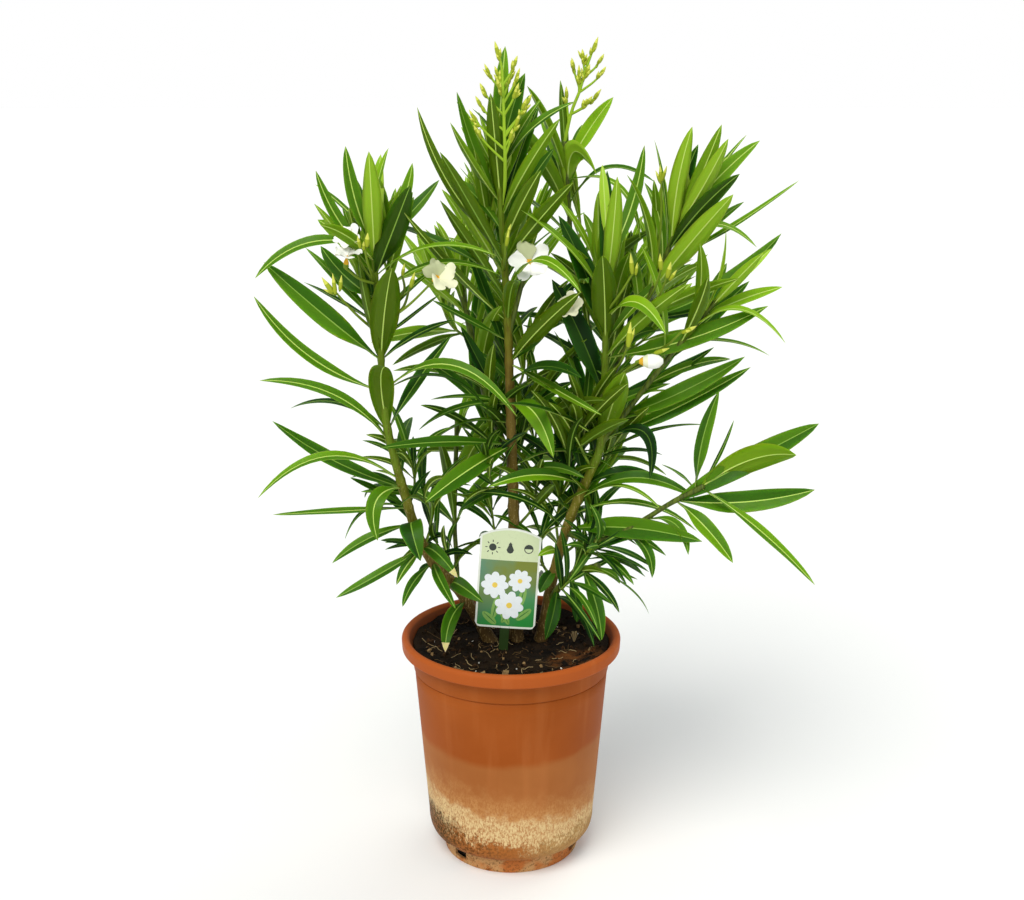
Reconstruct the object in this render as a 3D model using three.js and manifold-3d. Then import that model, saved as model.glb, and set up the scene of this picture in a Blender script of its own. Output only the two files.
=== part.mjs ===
// A potted oleander: three leaning stems in a round nursery pot, with a label stuck in the soil.
// Millimetres, +Z up, +X to the right and the front towards -Y. The origin is the centre of the
// flat underside of the pot, on the surface that the pot stands on.

import * as THREE from "three";
import { mergeVertices } from "three/addons/utils/BufferGeometryUtils.js";
import Module from "manifold-3d";

const wasm = await Module();
wasm.setup();

// Pot and soil
const RIM_RADIUS = 120;
const POT_HEIGHT = 252;
const FOOT_RADIUS = 75;
const FOOT_HEIGHT = 21;
const CORNER_RADIUS = 92.5; // wall radius where the rounded bottom corner ends
const CORNER_TOP = 44;
const STEP_RADIUS = 106; // wall radius at the step under the lip
const STEP_HEIGHT = 213;
const LIP_HEIGHT = 16;
const WALL = 2.6;
const FLOOR = 4;
const DRAIN = { width: 12, depth: 30, bottom: 13, top: 29, turns: [-47, 73, 193] }; // degrees
const SOIL_LEVEL = 234;
const SOIL_FALL = 3; // how much lower the soil lies at the wall
const SOIL_FLAT = 66; // radius within which its top is level

// Label
const LABEL = { width: 66, height: 112, dome: 9, corner: 5, thick: 0.9, hole: 1.8 };
const LABEL_BASE = [-7, -9, SOIL_LEVEL + 26]; // middle of the label's bottom edge
const LABEL_ROLL = 4; // degrees clockwise, seen from the front
const LABEL_TILT = 4; // degrees leaning back
const STAKE = { width: 10, length: 62 };

// Plant
const CLEARANCE = 0.3; // between pieces that touch
const ROUND = 32; // sides of the pot
const LIMB_SIDES = 6;
const LIMB_STEP = 42; // length of one stretch of a limb
const FLARE_LENGTH = 14;
const MASS_SIDES = 12;
const MASS_RINGS = 6;
const POINTED = 1.5; // 2 would make a mass round, 1 would make it a diamond
const UNEVEN = 0.2; // how far the surface of a mass falls in between its tufts

// Stems stand on the soil and run up through the foliage. Each is drawn through a few points,
// from the soil to its tip, and thins from its first radius to its last.
const STEMS = [
  {
    name: "stem_left", radii: [7, 2.2], flare: 2.4,
    through: [[-18, 18, 222], [-50, 12, 286], [-91, 0, 342], [-117, -13, 430], [-131, -19, 500],
      [-134, -20, 575], [-138, -20, 662]],
  },
  {
    name: "stem_centre", radii: [7.6, 2.2], flare: 2.6,
    through: [[6, 16, 222], [3, 13, 376], [-1, 9, 511], [-3, 5, 584], [-8, 1, 677], [-13, 0, 752]],
  },
  {
    name: "stem_right", radii: [6.6, 2.2], flare: 2.2,
    through: [[31, 20, 222], [47, 7, 318], [62, -4, 380], [82, -10, 433], [95, -12, 470],
      [97, -18, 570], [96, -28, 668]],
  },
];

// Boughs leave a stem and end where they enter the mass of leaves that they carry. The first point
// lies inside the stem, and the bough is cut off at the bark.
const BOUGHS = [
  { name: "bough_cut_stub", radii: [4.6, 4.1], through: [[-3, 5, 574], [6, 4, 604], [12, 3, 640]] },
  {
    name: "bough_second_head", into: "mass_second_head", radii: [4.4, 2.4],
    through: [[96, -15, 500], [87, 20, 560], [70, 48, 640], [54, 60, 720]],
  },
  {
    name: "bough_back_left", into: "mass_back_left", radii: [4.6, 2.6],
    through: [[1, 11, 440], [-22, 50, 490], [-46, 84, 545], [-54, 92, 600]],
  },
  {
    name: "bough_back", into: "mass_back_head", radii: [4.8, 2.4],
    through: [[4, 14, 330], [2, 60, 400], [0, 110, 500], [-6, 130, 610]],
  },
  {
    name: "bough_back_right", into: "mass_back_right", radii: [4.6, 2.4],
    through: [[54, 2, 350], [84, 46, 425], [112, 92, 500], [122, 106, 590]],
  },
  {
    name: "bough_right_upper", into: "mass_right_upper", radii: [4.4, 2.4],
    through: [[96, -14, 520], [118, -8, 568], [146, -8, 630], [170, -8, 690]],
  },
  {
    name: "bough_right_outer", into: "mass_right_outer", radii: [4.2, 2.4],
    through: [[95, -12, 468], [130, -24, 520], [168, -36, 575], [205, -44, 625]],
  },
  {
    name: "bough_side_shoot", into: "mass_side_shoot", radii: [4.4, 3],
    through: [[58, -2, 366], [96, -32, 368], [142, -52, 400], [186, -64, 434]],
  },
  {
    name: "bough_low_left", into: "mass_low_left", radii: [3.6, 2],
    through: [[-58, 10, 298], [-62, 44, 350], [-64, 70, 410], [-62, 76, 450]],
  },
  {
    name: "bough_low_right", into: "mass_low_right", radii: [3.4, 2],
    through: [[40, 13, 280], [58, -12, 318], [72, -30, 340], [86, -40, 346]],
  },
];

// Foliage masses, each round the end of a limb or round a stem. "grow" is the way the leaves
// point. "reach" is how far the mass goes: ahead along grow, behind, left, right, front and back.
// "spread" widens a mass towards its far end, as a head of leaves that opens upwards.
const foliage = (name, at, grow, reach, spread) => ({ name, at, grow, reach, spread });
const MASSES = [
  foliage("mass_blossom_left", [-9, 0, 808], [0, 0, 1], [63, 24, 28, 26, 24, 24], 0.1),
  foliage("mass_blossom_right", [72, 60, 820], [0.24, 0, 1], [61, 34, 24, 30, 22, 22], 0.3),
  foliage("mass_centre_head", [-10, 0, 742], [-0.08, 0, 1], [100, 156, 74, 52, 84, 78], 0.35),
  foliage("mass_left_head", [-138, -20, 700], [0, 0, 1], [76, 126, 65, 64, 78, 80], 0.3),
  foliage("mass_second_head", [50, 62, 742], [0.16, 0.1, 1], [92, 140, 42, 50, 60, 84], 0.35),
  foliage("mass_right_front", [94, -36, 640], [0.05, -0.15, 1], [112, 104, 36, 38, 66, 40], 0.2),
  foliage("mass_right_upper", [172, -8, 694], [0.42, 0, 1], [112, 82, 60, 62, 84, 88], 0.35),
  foliage("mass_right_outer", [194, -42, 616], [1, -0.1, 0.72], [104, 48, 70, 66, 80, 70], 0.25),
  foliage("mass_left_fan_upper", [-136, -20, 562], [-1, 0, 0.6], [147, 50, 38, 56, 96, 84], 0.1),
  foliage("mass_left_fan_middle", [-129, -18, 484], [-1, 0.1, 0.42], [145, 66, 32, 52, 92, 100], 0.1),
  foliage("mass_left_fan_lower", [-117, -14, 432], [-1, -0.05, 0.1], [149, 50, 48, 56, 96, 88], 0),
  foliage("mass_left_droop", [-98, -6, 364], [-0.8, -0.1, -0.6], [112, 54, 46, 38, 66, 60], 0.1),
  foliage("mass_right_middle", [108, -12, 500], [1, -0.1, 0.45], [146, 50, 48, 40, 90, 84], 0.15),
  foliage("mass_right_low", [78, -12, 404], [1, 0.12, -0.26], [132, 44, 52, 44, 78, 80], 0),
  foliage("mass_side_shoot", [190, -66, 434], [1, -0.05, -0.06], [130, 34, 92, 96, 17, 17], 0.7),
  foliage("mass_low_right", [84, -38, 344], [0.36, -0.2, -1], [84, 36, 48, 36, 42, 34], 0.1),
  foliage("mass_back_left", [-54, 92, 578], [-0.2, 0.2, 1], [66, 118, 78, 50, 44, 110], -0.2),
  foliage("mass_centre_middle", [0, 8, 496], [0, 0, 1], [66, 64, 122, 74, 112, 60], 0),
  foliage("mass_back_head", [-10, 134, 652], [0, 0.3, 1], [112, 100, 66, 62, 52, 84], 0.2),
  foliage("mass_back_right", [124, 108, 584], [0.3, 0.25, 1], [118, 110, 70, 80, 56, 88], 0.1),
  foliage("mass_low_left", [-62, 74, 426], [-0.4, 0.3, 1], [60, 66, 84, 64, 50, 100], 0),
  foliage("mass_low_back", [12, 84, 412], [0.1, 0.6, 1], [62, 70, 60, 96, 40, 104], 0),
];

const FINISHES = {
  pot: { color: 0xb5653a, roughness: 0.5, metalness: 0 },
  soil: { color: 0x1d140d, roughness: 1, metalness: 0 },
  label: { color: 0xd9e2c4, roughness: 0.4, metalness: 0 },
  bark: { color: 0x6f6a2c, roughness: 0.8, metalness: 0 },
  leaf: { color: 0x3f6d1c, roughness: 0.55, metalness: 0 },
  blossom: { color: 0xb9c83a, roughness: 0.6, metalness: 0 },
};

const FRONT = new THREE.Vector3(0, -1, 0);

// A closed geometry becomes a solid that can be joined and cut.
function solid(geometry) {
  const bare = geometry.clone();
  bare.deleteAttribute("normal");
  bare.deleteAttribute("uv");
  const merged = mergeVertices(bare, 1e-4);
  const vertProperties = new Float32Array(merged.attributes.position.array);
  const triVerts = new Uint32Array(merged.index.array);
  return new wasm.Manifold(new wasm.Mesh({ numProp: 3, vertProperties, triVerts }));
}

// A solid becomes a geometry again. Only its largest body is kept, without crumbs cut loose.
function geometryOf(cut) {
  const bodies = cut.decompose().sort((a, b) => b.volume() - a.volume());
  const mesh = bodies[0].getMesh();
  const geometry = new THREE.BufferGeometry();
  geometry.setAttribute("position", new THREE.BufferAttribute(mesh.vertProperties.slice(), 3));
  geometry.setIndex(new THREE.BufferAttribute(mesh.triVerts.slice(), 1));
  return geometry;
}

function meshOf(name, geometry, finish) {
  geometry.computeVertexNormals();
  const mesh = new THREE.Mesh(geometry, new THREE.MeshStandardMaterial(FINISHES[finish]));
  mesh.name = name;
  return mesh;
}

// A profile of [radius, height] pairs turned round the Z axis.
function turned(profile) {
  const points = profile.map(([radius, height]) => new THREE.Vector2(radius, height));
  return new THREE.LatheGeometry(points, ROUND).rotateX(Math.PI / 2);
}

// The rounded bottom corner of the pot, from the foot out to the wall, "inset" inside the skin.
function cornerArc(inset, steps) {
  const middle = [FOOT_RADIUS + 2, CORNER_TOP];
  const across = CORNER_RADIUS - middle[0] - inset;
  const down = CORNER_TOP - FOOT_HEIGHT - 1 - inset;
  return Array.from({ length: steps + 1 }, (_, i) => {
    const angle = (i / steps) * (Math.PI / 2);
    return [middle[0] + across * Math.sin(angle), middle[1] - down * Math.cos(angle)];
  });
}

// Inner radius of the pot's wall at a height between the corner and the lip.
const lipUnder = POT_HEIGHT - LIP_HEIGHT;
const insideAt = (height) => THREE.MathUtils.mapLinear(
  height, CORNER_TOP, lipUnder, CORNER_RADIUS - WALL, STEP_RADIUS - 0.6);

// The foot, the corner, the wall with its step, the rolled lip, and back down the inside.
function makePot() {
  const profile = [
    [0, 0],
    [FOOT_RADIUS, 0],
    [FOOT_RADIUS + 1, FOOT_HEIGHT],
    ...cornerArc(0, 4),
    [STEP_RADIUS, STEP_HEIGHT],
    [STEP_RADIUS + 1, STEP_HEIGHT + 1],
    [STEP_RADIUS + 1.8, lipUnder],
    [RIM_RADIUS - 3, lipUnder + 0.5],
    [RIM_RADIUS, lipUnder + 4],
    [RIM_RADIUS, POT_HEIGHT - 4],
    [RIM_RADIUS - 4, POT_HEIGHT],
    [RIM_RADIUS - 8, POT_HEIGHT - 2],
    [insideAt(lipUnder), lipUnder],
    [insideAt(CORNER_TOP), CORNER_TOP],
    ...cornerArc(WALL, 3).reverse().slice(1),
    [FOOT_RADIUS - WALL, FOOT_HEIGHT],
    [FOOT_RADIUS - WALL, FLOOR],
    [0, FLOOR],
  ];
  let pot = solid(turned(profile));
  for (const turn of DRAIN.turns) {
    const notch = new THREE.BoxGeometry(DRAIN.width, DRAIN.depth, DRAIN.top - DRAIN.bottom);
    notch.translate(0, -(FOOT_RADIUS + DRAIN.depth / 3), (DRAIN.top + DRAIN.bottom) / 2);
    notch.rotateZ(THREE.MathUtils.degToRad(turn));
    pot = pot.subtract(solid(notch));
  }
  return geometryOf(pot);
}

// The soil fills the pot, with a slot for the label's stake.
function makeSoil(stake) {
  const inset = WALL + CLEARANCE;
  const edge = SOIL_LEVEL - SOIL_FALL;
  const profile = [
    [0, FLOOR + CLEARANCE],
    [FOOT_RADIUS - inset, FLOOR + CLEARANCE],
    [FOOT_RADIUS - inset, FOOT_HEIGHT],
    ...cornerArc(inset, 3),
    [insideAt(edge) - CLEARANCE, edge],
    [SOIL_FLAT, SOIL_LEVEL],
    [0, SOIL_LEVEL],
  ];
  return geometryOf(solid(turned(profile)).subtract(solid(stake)));
}

// Turns something drawn flat, upright in X and Z, into the label's place.
function placeLabel(geometry) {
  geometry.rotateX(Math.PI / 2);
  geometry.rotateX(THREE.MathUtils.degToRad(-LABEL_TILT));
  geometry.rotateY(THREE.MathUtils.degToRad(LABEL_ROLL));
  return geometry.translate(...LABEL_BASE);
}

function makeStake(grown) {
  const { width, length } = STAKE;
  const overlap = 4; // the stake runs up behind the label's bottom edge
  const stake = new THREE.BoxGeometry(width + 2 * grown, length + overlap, LABEL.thick + 2 * grown);
  stake.translate(0, (overlap - length) / 2 - grown, 0);
  return placeLabel(stake);
}

// The label is a thin plate with a domed top, rounded lower corners and a punched hole.
function makeLabel() {
  const { width, height, dome, corner, thick, hole } = LABEL;
  const half = width / 2;
  const shoulder = height - dome;
  const outline = new THREE.Shape();
  outline.moveTo(-half + corner, 0);
  outline.lineTo(half - corner, 0);
  outline.quadraticCurveTo(half, 0, half, corner);
  outline.lineTo(half, shoulder);
  outline.quadraticCurveTo(0, height + dome, -half, shoulder);
  outline.lineTo(-half, corner);
  outline.quadraticCurveTo(-half, 0, -half + corner, 0);
  const punched = new THREE.Path();
  punched.absarc(0, height - 2 * dome, hole, 0, Math.PI * 2, true);
  outline.holes.push(punched);
  const settings = { depth: thick, bevelEnabled: false, curveSegments: 6 };
  const plate = new THREE.ExtrudeGeometry(outline, settings);
  plate.translate(0, 0, -thick / 2);
  return geometryOf(solid(placeLabel(plate)).add(solid(makeStake(0))));
}

// A tapering limb: a cylinder bent along the smooth curve through its points.
function limbSolid({ through, radii, flare = 0 }, grown = 0) {
  const curve = new THREE.CatmullRomCurve3(through.map((point) => new THREE.Vector3(...point)));
  const length = curve.getLength();
  const steps = Math.round(length / LIMB_STEP);
  const { tangents, normals, binormals } = curve.computeFrenetFrames(steps);
  const limb = new THREE.CylinderGeometry(1, 1, 1, LIMB_SIDES, steps);
  const position = limb.attributes.position;
  const point = new THREE.Vector3();
  for (let i = 0; i < position.count; i += 1) {
    const along = 0.5 - position.getY(i);
    const ring = Math.round(along * steps);
    const thick = THREE.MathUtils.lerp(radii[0], radii[1], along);
    const radius = thick + flare * Math.exp((-along * length) / FLARE_LENGTH) + grown;
    curve.getPointAt(ring / steps, point);
    point.addScaledVector(tangents[ring], grown * (2 * along - 1));
    point.addScaledVector(normals[ring], position.getX(i) * radius);
    point.addScaledVector(binormals[ring], position.getZ(i) * radius);
    position.setXYZ(i, point.x, point.y, point.z);
  }
  return solid(limb);
}

// Everything below the soil's surface, where the stems are cut off flat.
function underSoil() {
  const side = 3 * RIM_RADIUS;
  const block = new THREE.BoxGeometry(side, side, SOIL_LEVEL + CLEARANCE);
  return solid(block.translate(0, 0, (SOIL_LEVEL + CLEARANCE) / 2));
}

// How far a mass reaches along one direction: a rounded diamond through its six reaches, with
// three tufts round it, as the leaves stand in threes.
function reachAlong(way, reach, grown, turn) {
  const [ahead, behind, left, right, front, back] = reach;
  const along = Math.abs(way.z) / (way.z > 0 ? ahead : behind);
  const across = Math.abs(way.x) / (way.x > 0 ? right : left);
  const deep = Math.abs(way.y) / (way.y > 0 ? back : front);
  const plain = (along ** POINTED + across ** POINTED + deep ** POINTED) ** (-1 / POINTED);
  const round = Math.atan2(way.y, way.x);
  const tufts = 0.5 + 0.5 * Math.sin(3 * round + turn) * Math.cos(5 * way.z + turn);
  const between = 1 - Math.max(Math.abs(way.x), Math.abs(way.y), Math.abs(way.z)) ** 6;
  return plain * (1 - UNEVEN * between * tufts) + grown;
}

// A ball drawn out to the reaches of its mass, turned along its growth and put in its place.
function massSolid({ name, at, grow, reach, spread }, grown = 0) {
  const turn = 2.4 * MASSES.findIndex((mass) => mass.name === name);
  const ahead = new THREE.Vector3(...grow).normalize();
  const side = new THREE.Vector3().crossVectors(ahead, FRONT).normalize();
  const deep = new THREE.Vector3().crossVectors(ahead, side);
  const toPlace = new THREE.Matrix4().makeBasis(side, deep, ahead).setPosition(...at);
  const ball = new THREE.SphereGeometry(1, MASS_SIDES, MASS_RINGS).rotateX(Math.PI / 2);
  const position = ball.attributes.position;
  const point = new THREE.Vector3();
  for (let i = 0; i < position.count; i += 1) {
    point.fromBufferAttribute(position, i).normalize();
    point.multiplyScalar(reachAlong(point, reach, grown, turn));
    const wide = 1 + spread * THREE.MathUtils.clamp(point.z / reach[0], -1, 1);
    point.set(point.x * wide, point.y * wide, point.z).applyMatrix4(toPlace);
    position.setXYZ(i, point.x, point.y, point.z);
  }
  return solid(ball);
}

const group = new THREE.Group();
group.add(meshOf("pot", makePot(), "pot"));
group.add(meshOf("soil", makeSoil(makeStake(CLEARANCE)), "soil"));
group.add(meshOf("label", makeLabel(), "label"));

const below = underSoil();
for (const stem of STEMS) {
  group.add(meshOf(stem.name, geometryOf(limbSolid(stem).subtract(below)), "bark"));
}

// Room is kept round each piece for the pieces that come after it.
const stemRoom = wasm.Manifold.union(STEMS.map((stem) => limbSolid(stem, CLEARANCE)));
const roomOf = (name) => massSolid(MASSES.find((mass) => mass.name === name), 3 * CLEARANCE);

let taken = stemRoom;
for (const bough of BOUGHS) {
  let cut = limbSolid(bough).subtract(taken);
  if (bough.into) {
    cut = cut.subtract(roomOf(bough.into));
  }
  taken = taken.add(limbSolid(bough, CLEARANCE));
  group.add(meshOf(bough.name, geometryOf(cut), "bark"));
}

const earlier = [stemRoom, solid(makeStake(CLEARANCE))];
for (const mass of MASSES) {
  const passing = BOUGHS.filter((bough) => bough.into !== mass.name);
  const limbs = passing.map((bough) => limbSolid(bough, CLEARANCE));
  const cut = wasm.Manifold.difference([massSolid(mass), ...earlier, ...limbs]);
  earlier.push(roomOf(mass.name));
  const finish = mass.name.startsWith("mass_blossom") ? "blossom" : "leaf";
  group.add(meshOf(mass.name, geometryOf(cut), finish));
}

export default group;
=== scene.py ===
"""The looks of a potted oleander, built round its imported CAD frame.

Lengths are millimetres and angles are degrees until Sheet.piece makes a mesh in metres. +Z is up,
the front is towards -Y and +X is to the right. Every CAD node is replaced: pot, soil and label by
finer pieces, stems and boughs by bark with relief, and each mass by the leaves, twigs and flowers
that grow on from its limb.
"""

import math
import random

import bmesh
import bpy
import numpy as np
from mathutils import Euler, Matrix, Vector, noise
from mathutils.bvhtree import BVHTree


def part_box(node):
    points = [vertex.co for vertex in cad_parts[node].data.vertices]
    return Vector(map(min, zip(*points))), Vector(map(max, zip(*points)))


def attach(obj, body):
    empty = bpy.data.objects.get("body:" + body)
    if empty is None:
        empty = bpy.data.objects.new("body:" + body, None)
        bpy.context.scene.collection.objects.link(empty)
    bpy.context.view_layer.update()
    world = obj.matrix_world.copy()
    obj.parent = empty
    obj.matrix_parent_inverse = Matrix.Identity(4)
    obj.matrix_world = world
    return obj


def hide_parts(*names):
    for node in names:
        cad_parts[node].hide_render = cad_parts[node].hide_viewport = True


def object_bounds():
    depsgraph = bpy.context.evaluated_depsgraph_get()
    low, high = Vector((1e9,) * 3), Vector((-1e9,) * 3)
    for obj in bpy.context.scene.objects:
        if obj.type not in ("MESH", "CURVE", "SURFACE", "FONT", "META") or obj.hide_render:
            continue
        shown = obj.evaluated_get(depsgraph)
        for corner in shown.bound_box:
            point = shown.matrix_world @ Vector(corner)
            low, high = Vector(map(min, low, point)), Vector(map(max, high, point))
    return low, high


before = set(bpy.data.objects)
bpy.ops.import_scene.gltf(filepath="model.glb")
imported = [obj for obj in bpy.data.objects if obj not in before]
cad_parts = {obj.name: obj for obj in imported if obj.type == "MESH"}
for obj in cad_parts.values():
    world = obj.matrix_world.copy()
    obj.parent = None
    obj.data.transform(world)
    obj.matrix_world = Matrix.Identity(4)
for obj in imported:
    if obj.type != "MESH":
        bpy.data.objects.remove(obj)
cad_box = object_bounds()

METRE = 1000.0

# ---------------------------------------------------------------------------------------------
# Camera, light and floor
# ---------------------------------------------------------------------------------------------

CAMERA_AT = (1, -1448, 841)
CAMERA_DOWN = 14.8  # below the horizon
CAMERA_LENS = 49.6
SENSOR_WIDTH = 36
TOWARDS_CAMERA = np.array([0.0, -0.97, 0.26])
FLOOR_RADIUS = 40000
FLOOR_COLOUR = (240, 240, 238)
BACKDROP_COLOUR = (255, 255, 255)
SKY_COLOUR = (244, 250, 255)
SKY_STRENGTH = 0.5
# Each light: the way it comes from, its strength, how far it spreads and its colour.
LIGHTS = {
    "key_light": ((-0.3, -0.6, 0.9), 2.35, 40, (1, 0.985, 0.94)),
    "fill_light": ((0.8, -0.6, 0.3), 0.4, 60, (1, 1, 1)),
    "rim_light": ((0.5, 0.6, 0.9), 0.6, 40, (1, 1, 0.97)),
}


def make_camera():
    camera = bpy.data.objects.new("camera", bpy.data.cameras.new("camera"))
    camera.location = Vector(CAMERA_AT) / METRE
    camera.rotation_euler = Euler((math.radians(90 - CAMERA_DOWN), 0, 0))
    camera.data.lens = CAMERA_LENS
    camera.data.sensor_width = SENSOR_WIDTH
    bpy.context.scene.collection.objects.link(camera)
    bpy.context.scene.camera = camera


def make_light(name, way, strength, spread, colour):
    """Soft even light that comes from a way, as from a large far lamp."""
    lamp = bpy.data.lights.new(name, "SUN")
    lamp.energy = strength
    lamp.angle = math.radians(spread)
    lamp.color = colour
    sun = bpy.data.objects.new(name, lamp)
    sun.rotation_mode = "QUATERNION"
    sun.rotation_quaternion = Vector(way).to_track_quat("Z", "Y")
    bpy.context.scene.collection.objects.link(sun)


def make_studio():
    """The lights and a pale sky, in whose place the camera sees a white backdrop."""
    for name, look in LIGHTS.items():
        make_light(name, *look)
    world = bpy.data.worlds.new("studio")
    world.use_nodes = True
    tree = world.node_tree
    light = tree.nodes["Background"]
    light.inputs["Color"].default_value = srgb(*SKY_COLOUR)
    light.inputs["Strength"].default_value = SKY_STRENGTH
    backdrop = tree.nodes.new("ShaderNodeBackground")
    backdrop.inputs["Color"].default_value = srgb(*BACKDROP_COLOUR)
    mix = tree.nodes.new("ShaderNodeMixShader")
    path = tree.nodes.new("ShaderNodeLightPath")
    tree.links.new(path.outputs["Is Camera Ray"], mix.inputs[0])
    tree.links.new(light.outputs[0], mix.inputs[1])
    tree.links.new(backdrop.outputs[0], mix.inputs[2])
    tree.links.new(mix.outputs[0], tree.nodes["World Output"].inputs["Surface"])
    bpy.context.scene.world = world
    bpy.context.scene.view_settings.view_transform = "Standard"


# ---------------------------------------------------------------------------------------------
# Small tools
# ---------------------------------------------------------------------------------------------


def srgb(red, green, blue):
    """A colour given as it shows on a screen, 0 to 255, as the linear colour that nodes take."""
    linear = []
    for value in (red, green, blue):
        share = value / 255
        linear.append(share / 12.92 if share <= 0.04045 else ((share + 0.055) / 1.055) ** 2.4)
    return (*linear, 1.0)


def vec(point):
    return np.array(point, float)


def unit(way):
    return way / (np.linalg.norm(way) or 1.0)


def blend(table, at):
    """A value read between the pairs (place, value) of a table."""
    return float(np.interp(at, [row[0] for row in table], [row[1] for row in table]))


def smooth(share):
    share = np.clip(share, 0, 1)
    return share * share * (3 - 2 * share)


class Sheet:
    """Grids of quads in millimetres, joined into one piece with a material for each column."""

    def __init__(self):
        self.points = []
        self.faces = []
        self.slots = []
        self.count = 0

    def grid(self, rows, slots, closed=False, under=None):
        """rows is an array of rows of points. slots has a material for each column of quads, or
        one row of them for each row of quads. From column under on, the quads start at their next
        corner, so that the two sides of a blade split along the same diagonal."""
        rows = np.asarray(rows, float)
        height, width = rows.shape[:2]
        columns = width if closed else width - 1
        slots = np.asarray(slots)
        if slots.ndim == 0:
            slots = np.full(columns, slots)
        if slots.ndim == 1:
            slots = np.tile(slots, (height - 1, 1))
        here = np.arange(columns)
        beside = (here + 1) % width
        for row in range(height - 1):
            low = self.count + row * width
            high = low + width
            quads = np.stack([low + here, low + beside, high + beside, high + here], 1)
            if under is not None:
                quads[under:] = np.roll(quads[under:], -1, axis=1)
            self.faces.append(quads)
            self.slots.append(slots[row])
        self.points.append(rows.reshape(-1, 3))
        self.count += height * width

    def loop(self, outline, slot):
        """One flat face inside an outline."""
        start = self.count
        self.points.append(np.asarray(outline, float))
        self.faces.append([list(range(start, start + len(outline)))])
        self.slots.append([slot])
        self.count += len(outline)

    def piece(self, name, materials, slot, replaces=(), flat=False):
        """Makes the object, in metres, riding on the root body."""
        mesh = bpy.data.meshes.new(name)
        faces = [list(map(int, face)) for block in self.faces for face in block]
        points = np.concatenate(self.points) / METRE
        mesh.from_pydata(points.tolist(), [], faces)
        for material in materials:
            mesh.materials.append(material)
        mesh.polygons.foreach_set("material_index", np.concatenate(self.slots).astype(np.int32))
        mesh.polygons.foreach_set("use_smooth", np.full(len(faces), not flat))
        mesh.update()
        made = bpy.data.objects.new(name, mesh)
        bpy.context.scene.collection.objects.link(made)
        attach(made, "root")
        if replaces:
            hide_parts(*replaces)
        return made


def weld(piece):
    """Joins the corners that share a place, so that the piece is one closed skin."""
    skin = bmesh.new()
    skin.from_mesh(piece.data)
    bmesh.ops.remove_doubles(skin, verts=skin.verts, dist=1e-6)
    bmesh.ops.recalc_face_normals(skin, faces=skin.faces)
    skin.to_mesh(piece.data)
    skin.free()


# ---------------------------------------------------------------------------------------------
# Materials
# ---------------------------------------------------------------------------------------------


MIX_COLOURS_IN = (6, 7)
MIX_COLOUR_OUT = 2


class Nodes:
    """A Principled material with short ways to add nodes to it."""

    def __init__(self, name, colour, rough, specular=0.5):
        self.material = bpy.data.materials.new(name)
        self.material.use_nodes = True
        self.tree = self.material.node_tree
        self.shader = self.tree.nodes["Principled BSDF"]
        self.shader.inputs["Base Color"].default_value = srgb(*colour)
        self.shader.inputs["Roughness"].default_value = rough
        self.shader.inputs["Specular IOR Level"].default_value = specular
        self.place = self.tree.nodes.new("ShaderNodeTexCoord").outputs["Object"]

    def put(self, value, socket):
        """Links a socket to an input, or sets the input to a value."""
        if isinstance(value, bpy.types.NodeSocket):
            self.tree.links.new(value, socket)
        else:
            socket.default_value = value

    def add(self, kind, **inputs):
        """A node with its inputs set to a value or linked to a socket."""
        node = self.tree.nodes.new(kind)
        for key, value in inputs.items():
            self.put(value, node.inputs[key])
        return node

    def noise(self, scale, detail=3, stretch=(1, 1, 1), rough=0.5):
        place = self.add("ShaderNodeMapping", Vector=self.place, Scale=stretch)
        return self.add("ShaderNodeTexNoise", Vector=place.outputs[0], Scale=scale,
                        Detail=detail, Roughness=rough).outputs["Fac"]

    def math(self, kind, first, second):
        node = self.tree.nodes.new("ShaderNodeMath")
        node.operation = kind
        self.put(first, node.inputs[0])
        self.put(second, node.inputs[1])
        return node.outputs[0]

    def plus(self, first, second):
        return self.math("ADD", first, second)

    def minus(self, first, second):
        return self.math("SUBTRACT", first, second)

    def times(self, first, second):
        return self.math("MULTIPLY", first, second)

    def greatest(self, first, second):
        return self.math("MAXIMUM", first, second)

    def between(self, value, low, high, to_low=0.0, to_high=1.0):
        """value stretched from low..high to to_low..to_high, smoothly and within those ends."""
        node = self.add("ShaderNodeMapRange", Value=value)
        node.interpolation_type = "SMOOTHSTEP"
        ends = {"From Min": low, "From Max": high, "To Min": to_low, "To Max": to_high}
        for key, number in ends.items():
            node.inputs[key].default_value = number
        return node.outputs[0]

    def mix(self, share, first, second):
        """Two colours mixed: each is three numbers as on a screen, or a socket."""
        node = self.tree.nodes.new("ShaderNodeMix")
        node.data_type = "RGBA"
        self.put(share, node.inputs[0])
        for value, index in zip((first, second), MIX_COLOURS_IN):
            self.put(srgb(*value) if isinstance(value, tuple) else value, node.inputs[index])
        return node.outputs[MIX_COLOUR_OUT]

    def axis(self, index):
        return self.add("ShaderNodeSeparateXYZ", Vector=self.place).outputs[index]

    def colour(self, socket):
        self.put(socket, self.shader.inputs["Base Color"])

    def rough(self, socket):
        self.put(socket, self.shader.inputs["Roughness"])

    def bump(self, height, strength, deep):
        """Fine relief, deep metres at most."""
        node = self.add("ShaderNodeBump", Height=height, Strength=strength, Distance=deep)
        self.put(node.outputs[0], self.shader.inputs["Normal"])


LEAF_GLOW = 0.4  # how much of the light goes through the blade and spreads in it
LEAF_GLOW_REACH = (0.0008, 0.0014, 0.0004)
# Noise runs mostly between these two values.
NOISE_ENDS = (0.3, 0.7)


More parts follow.
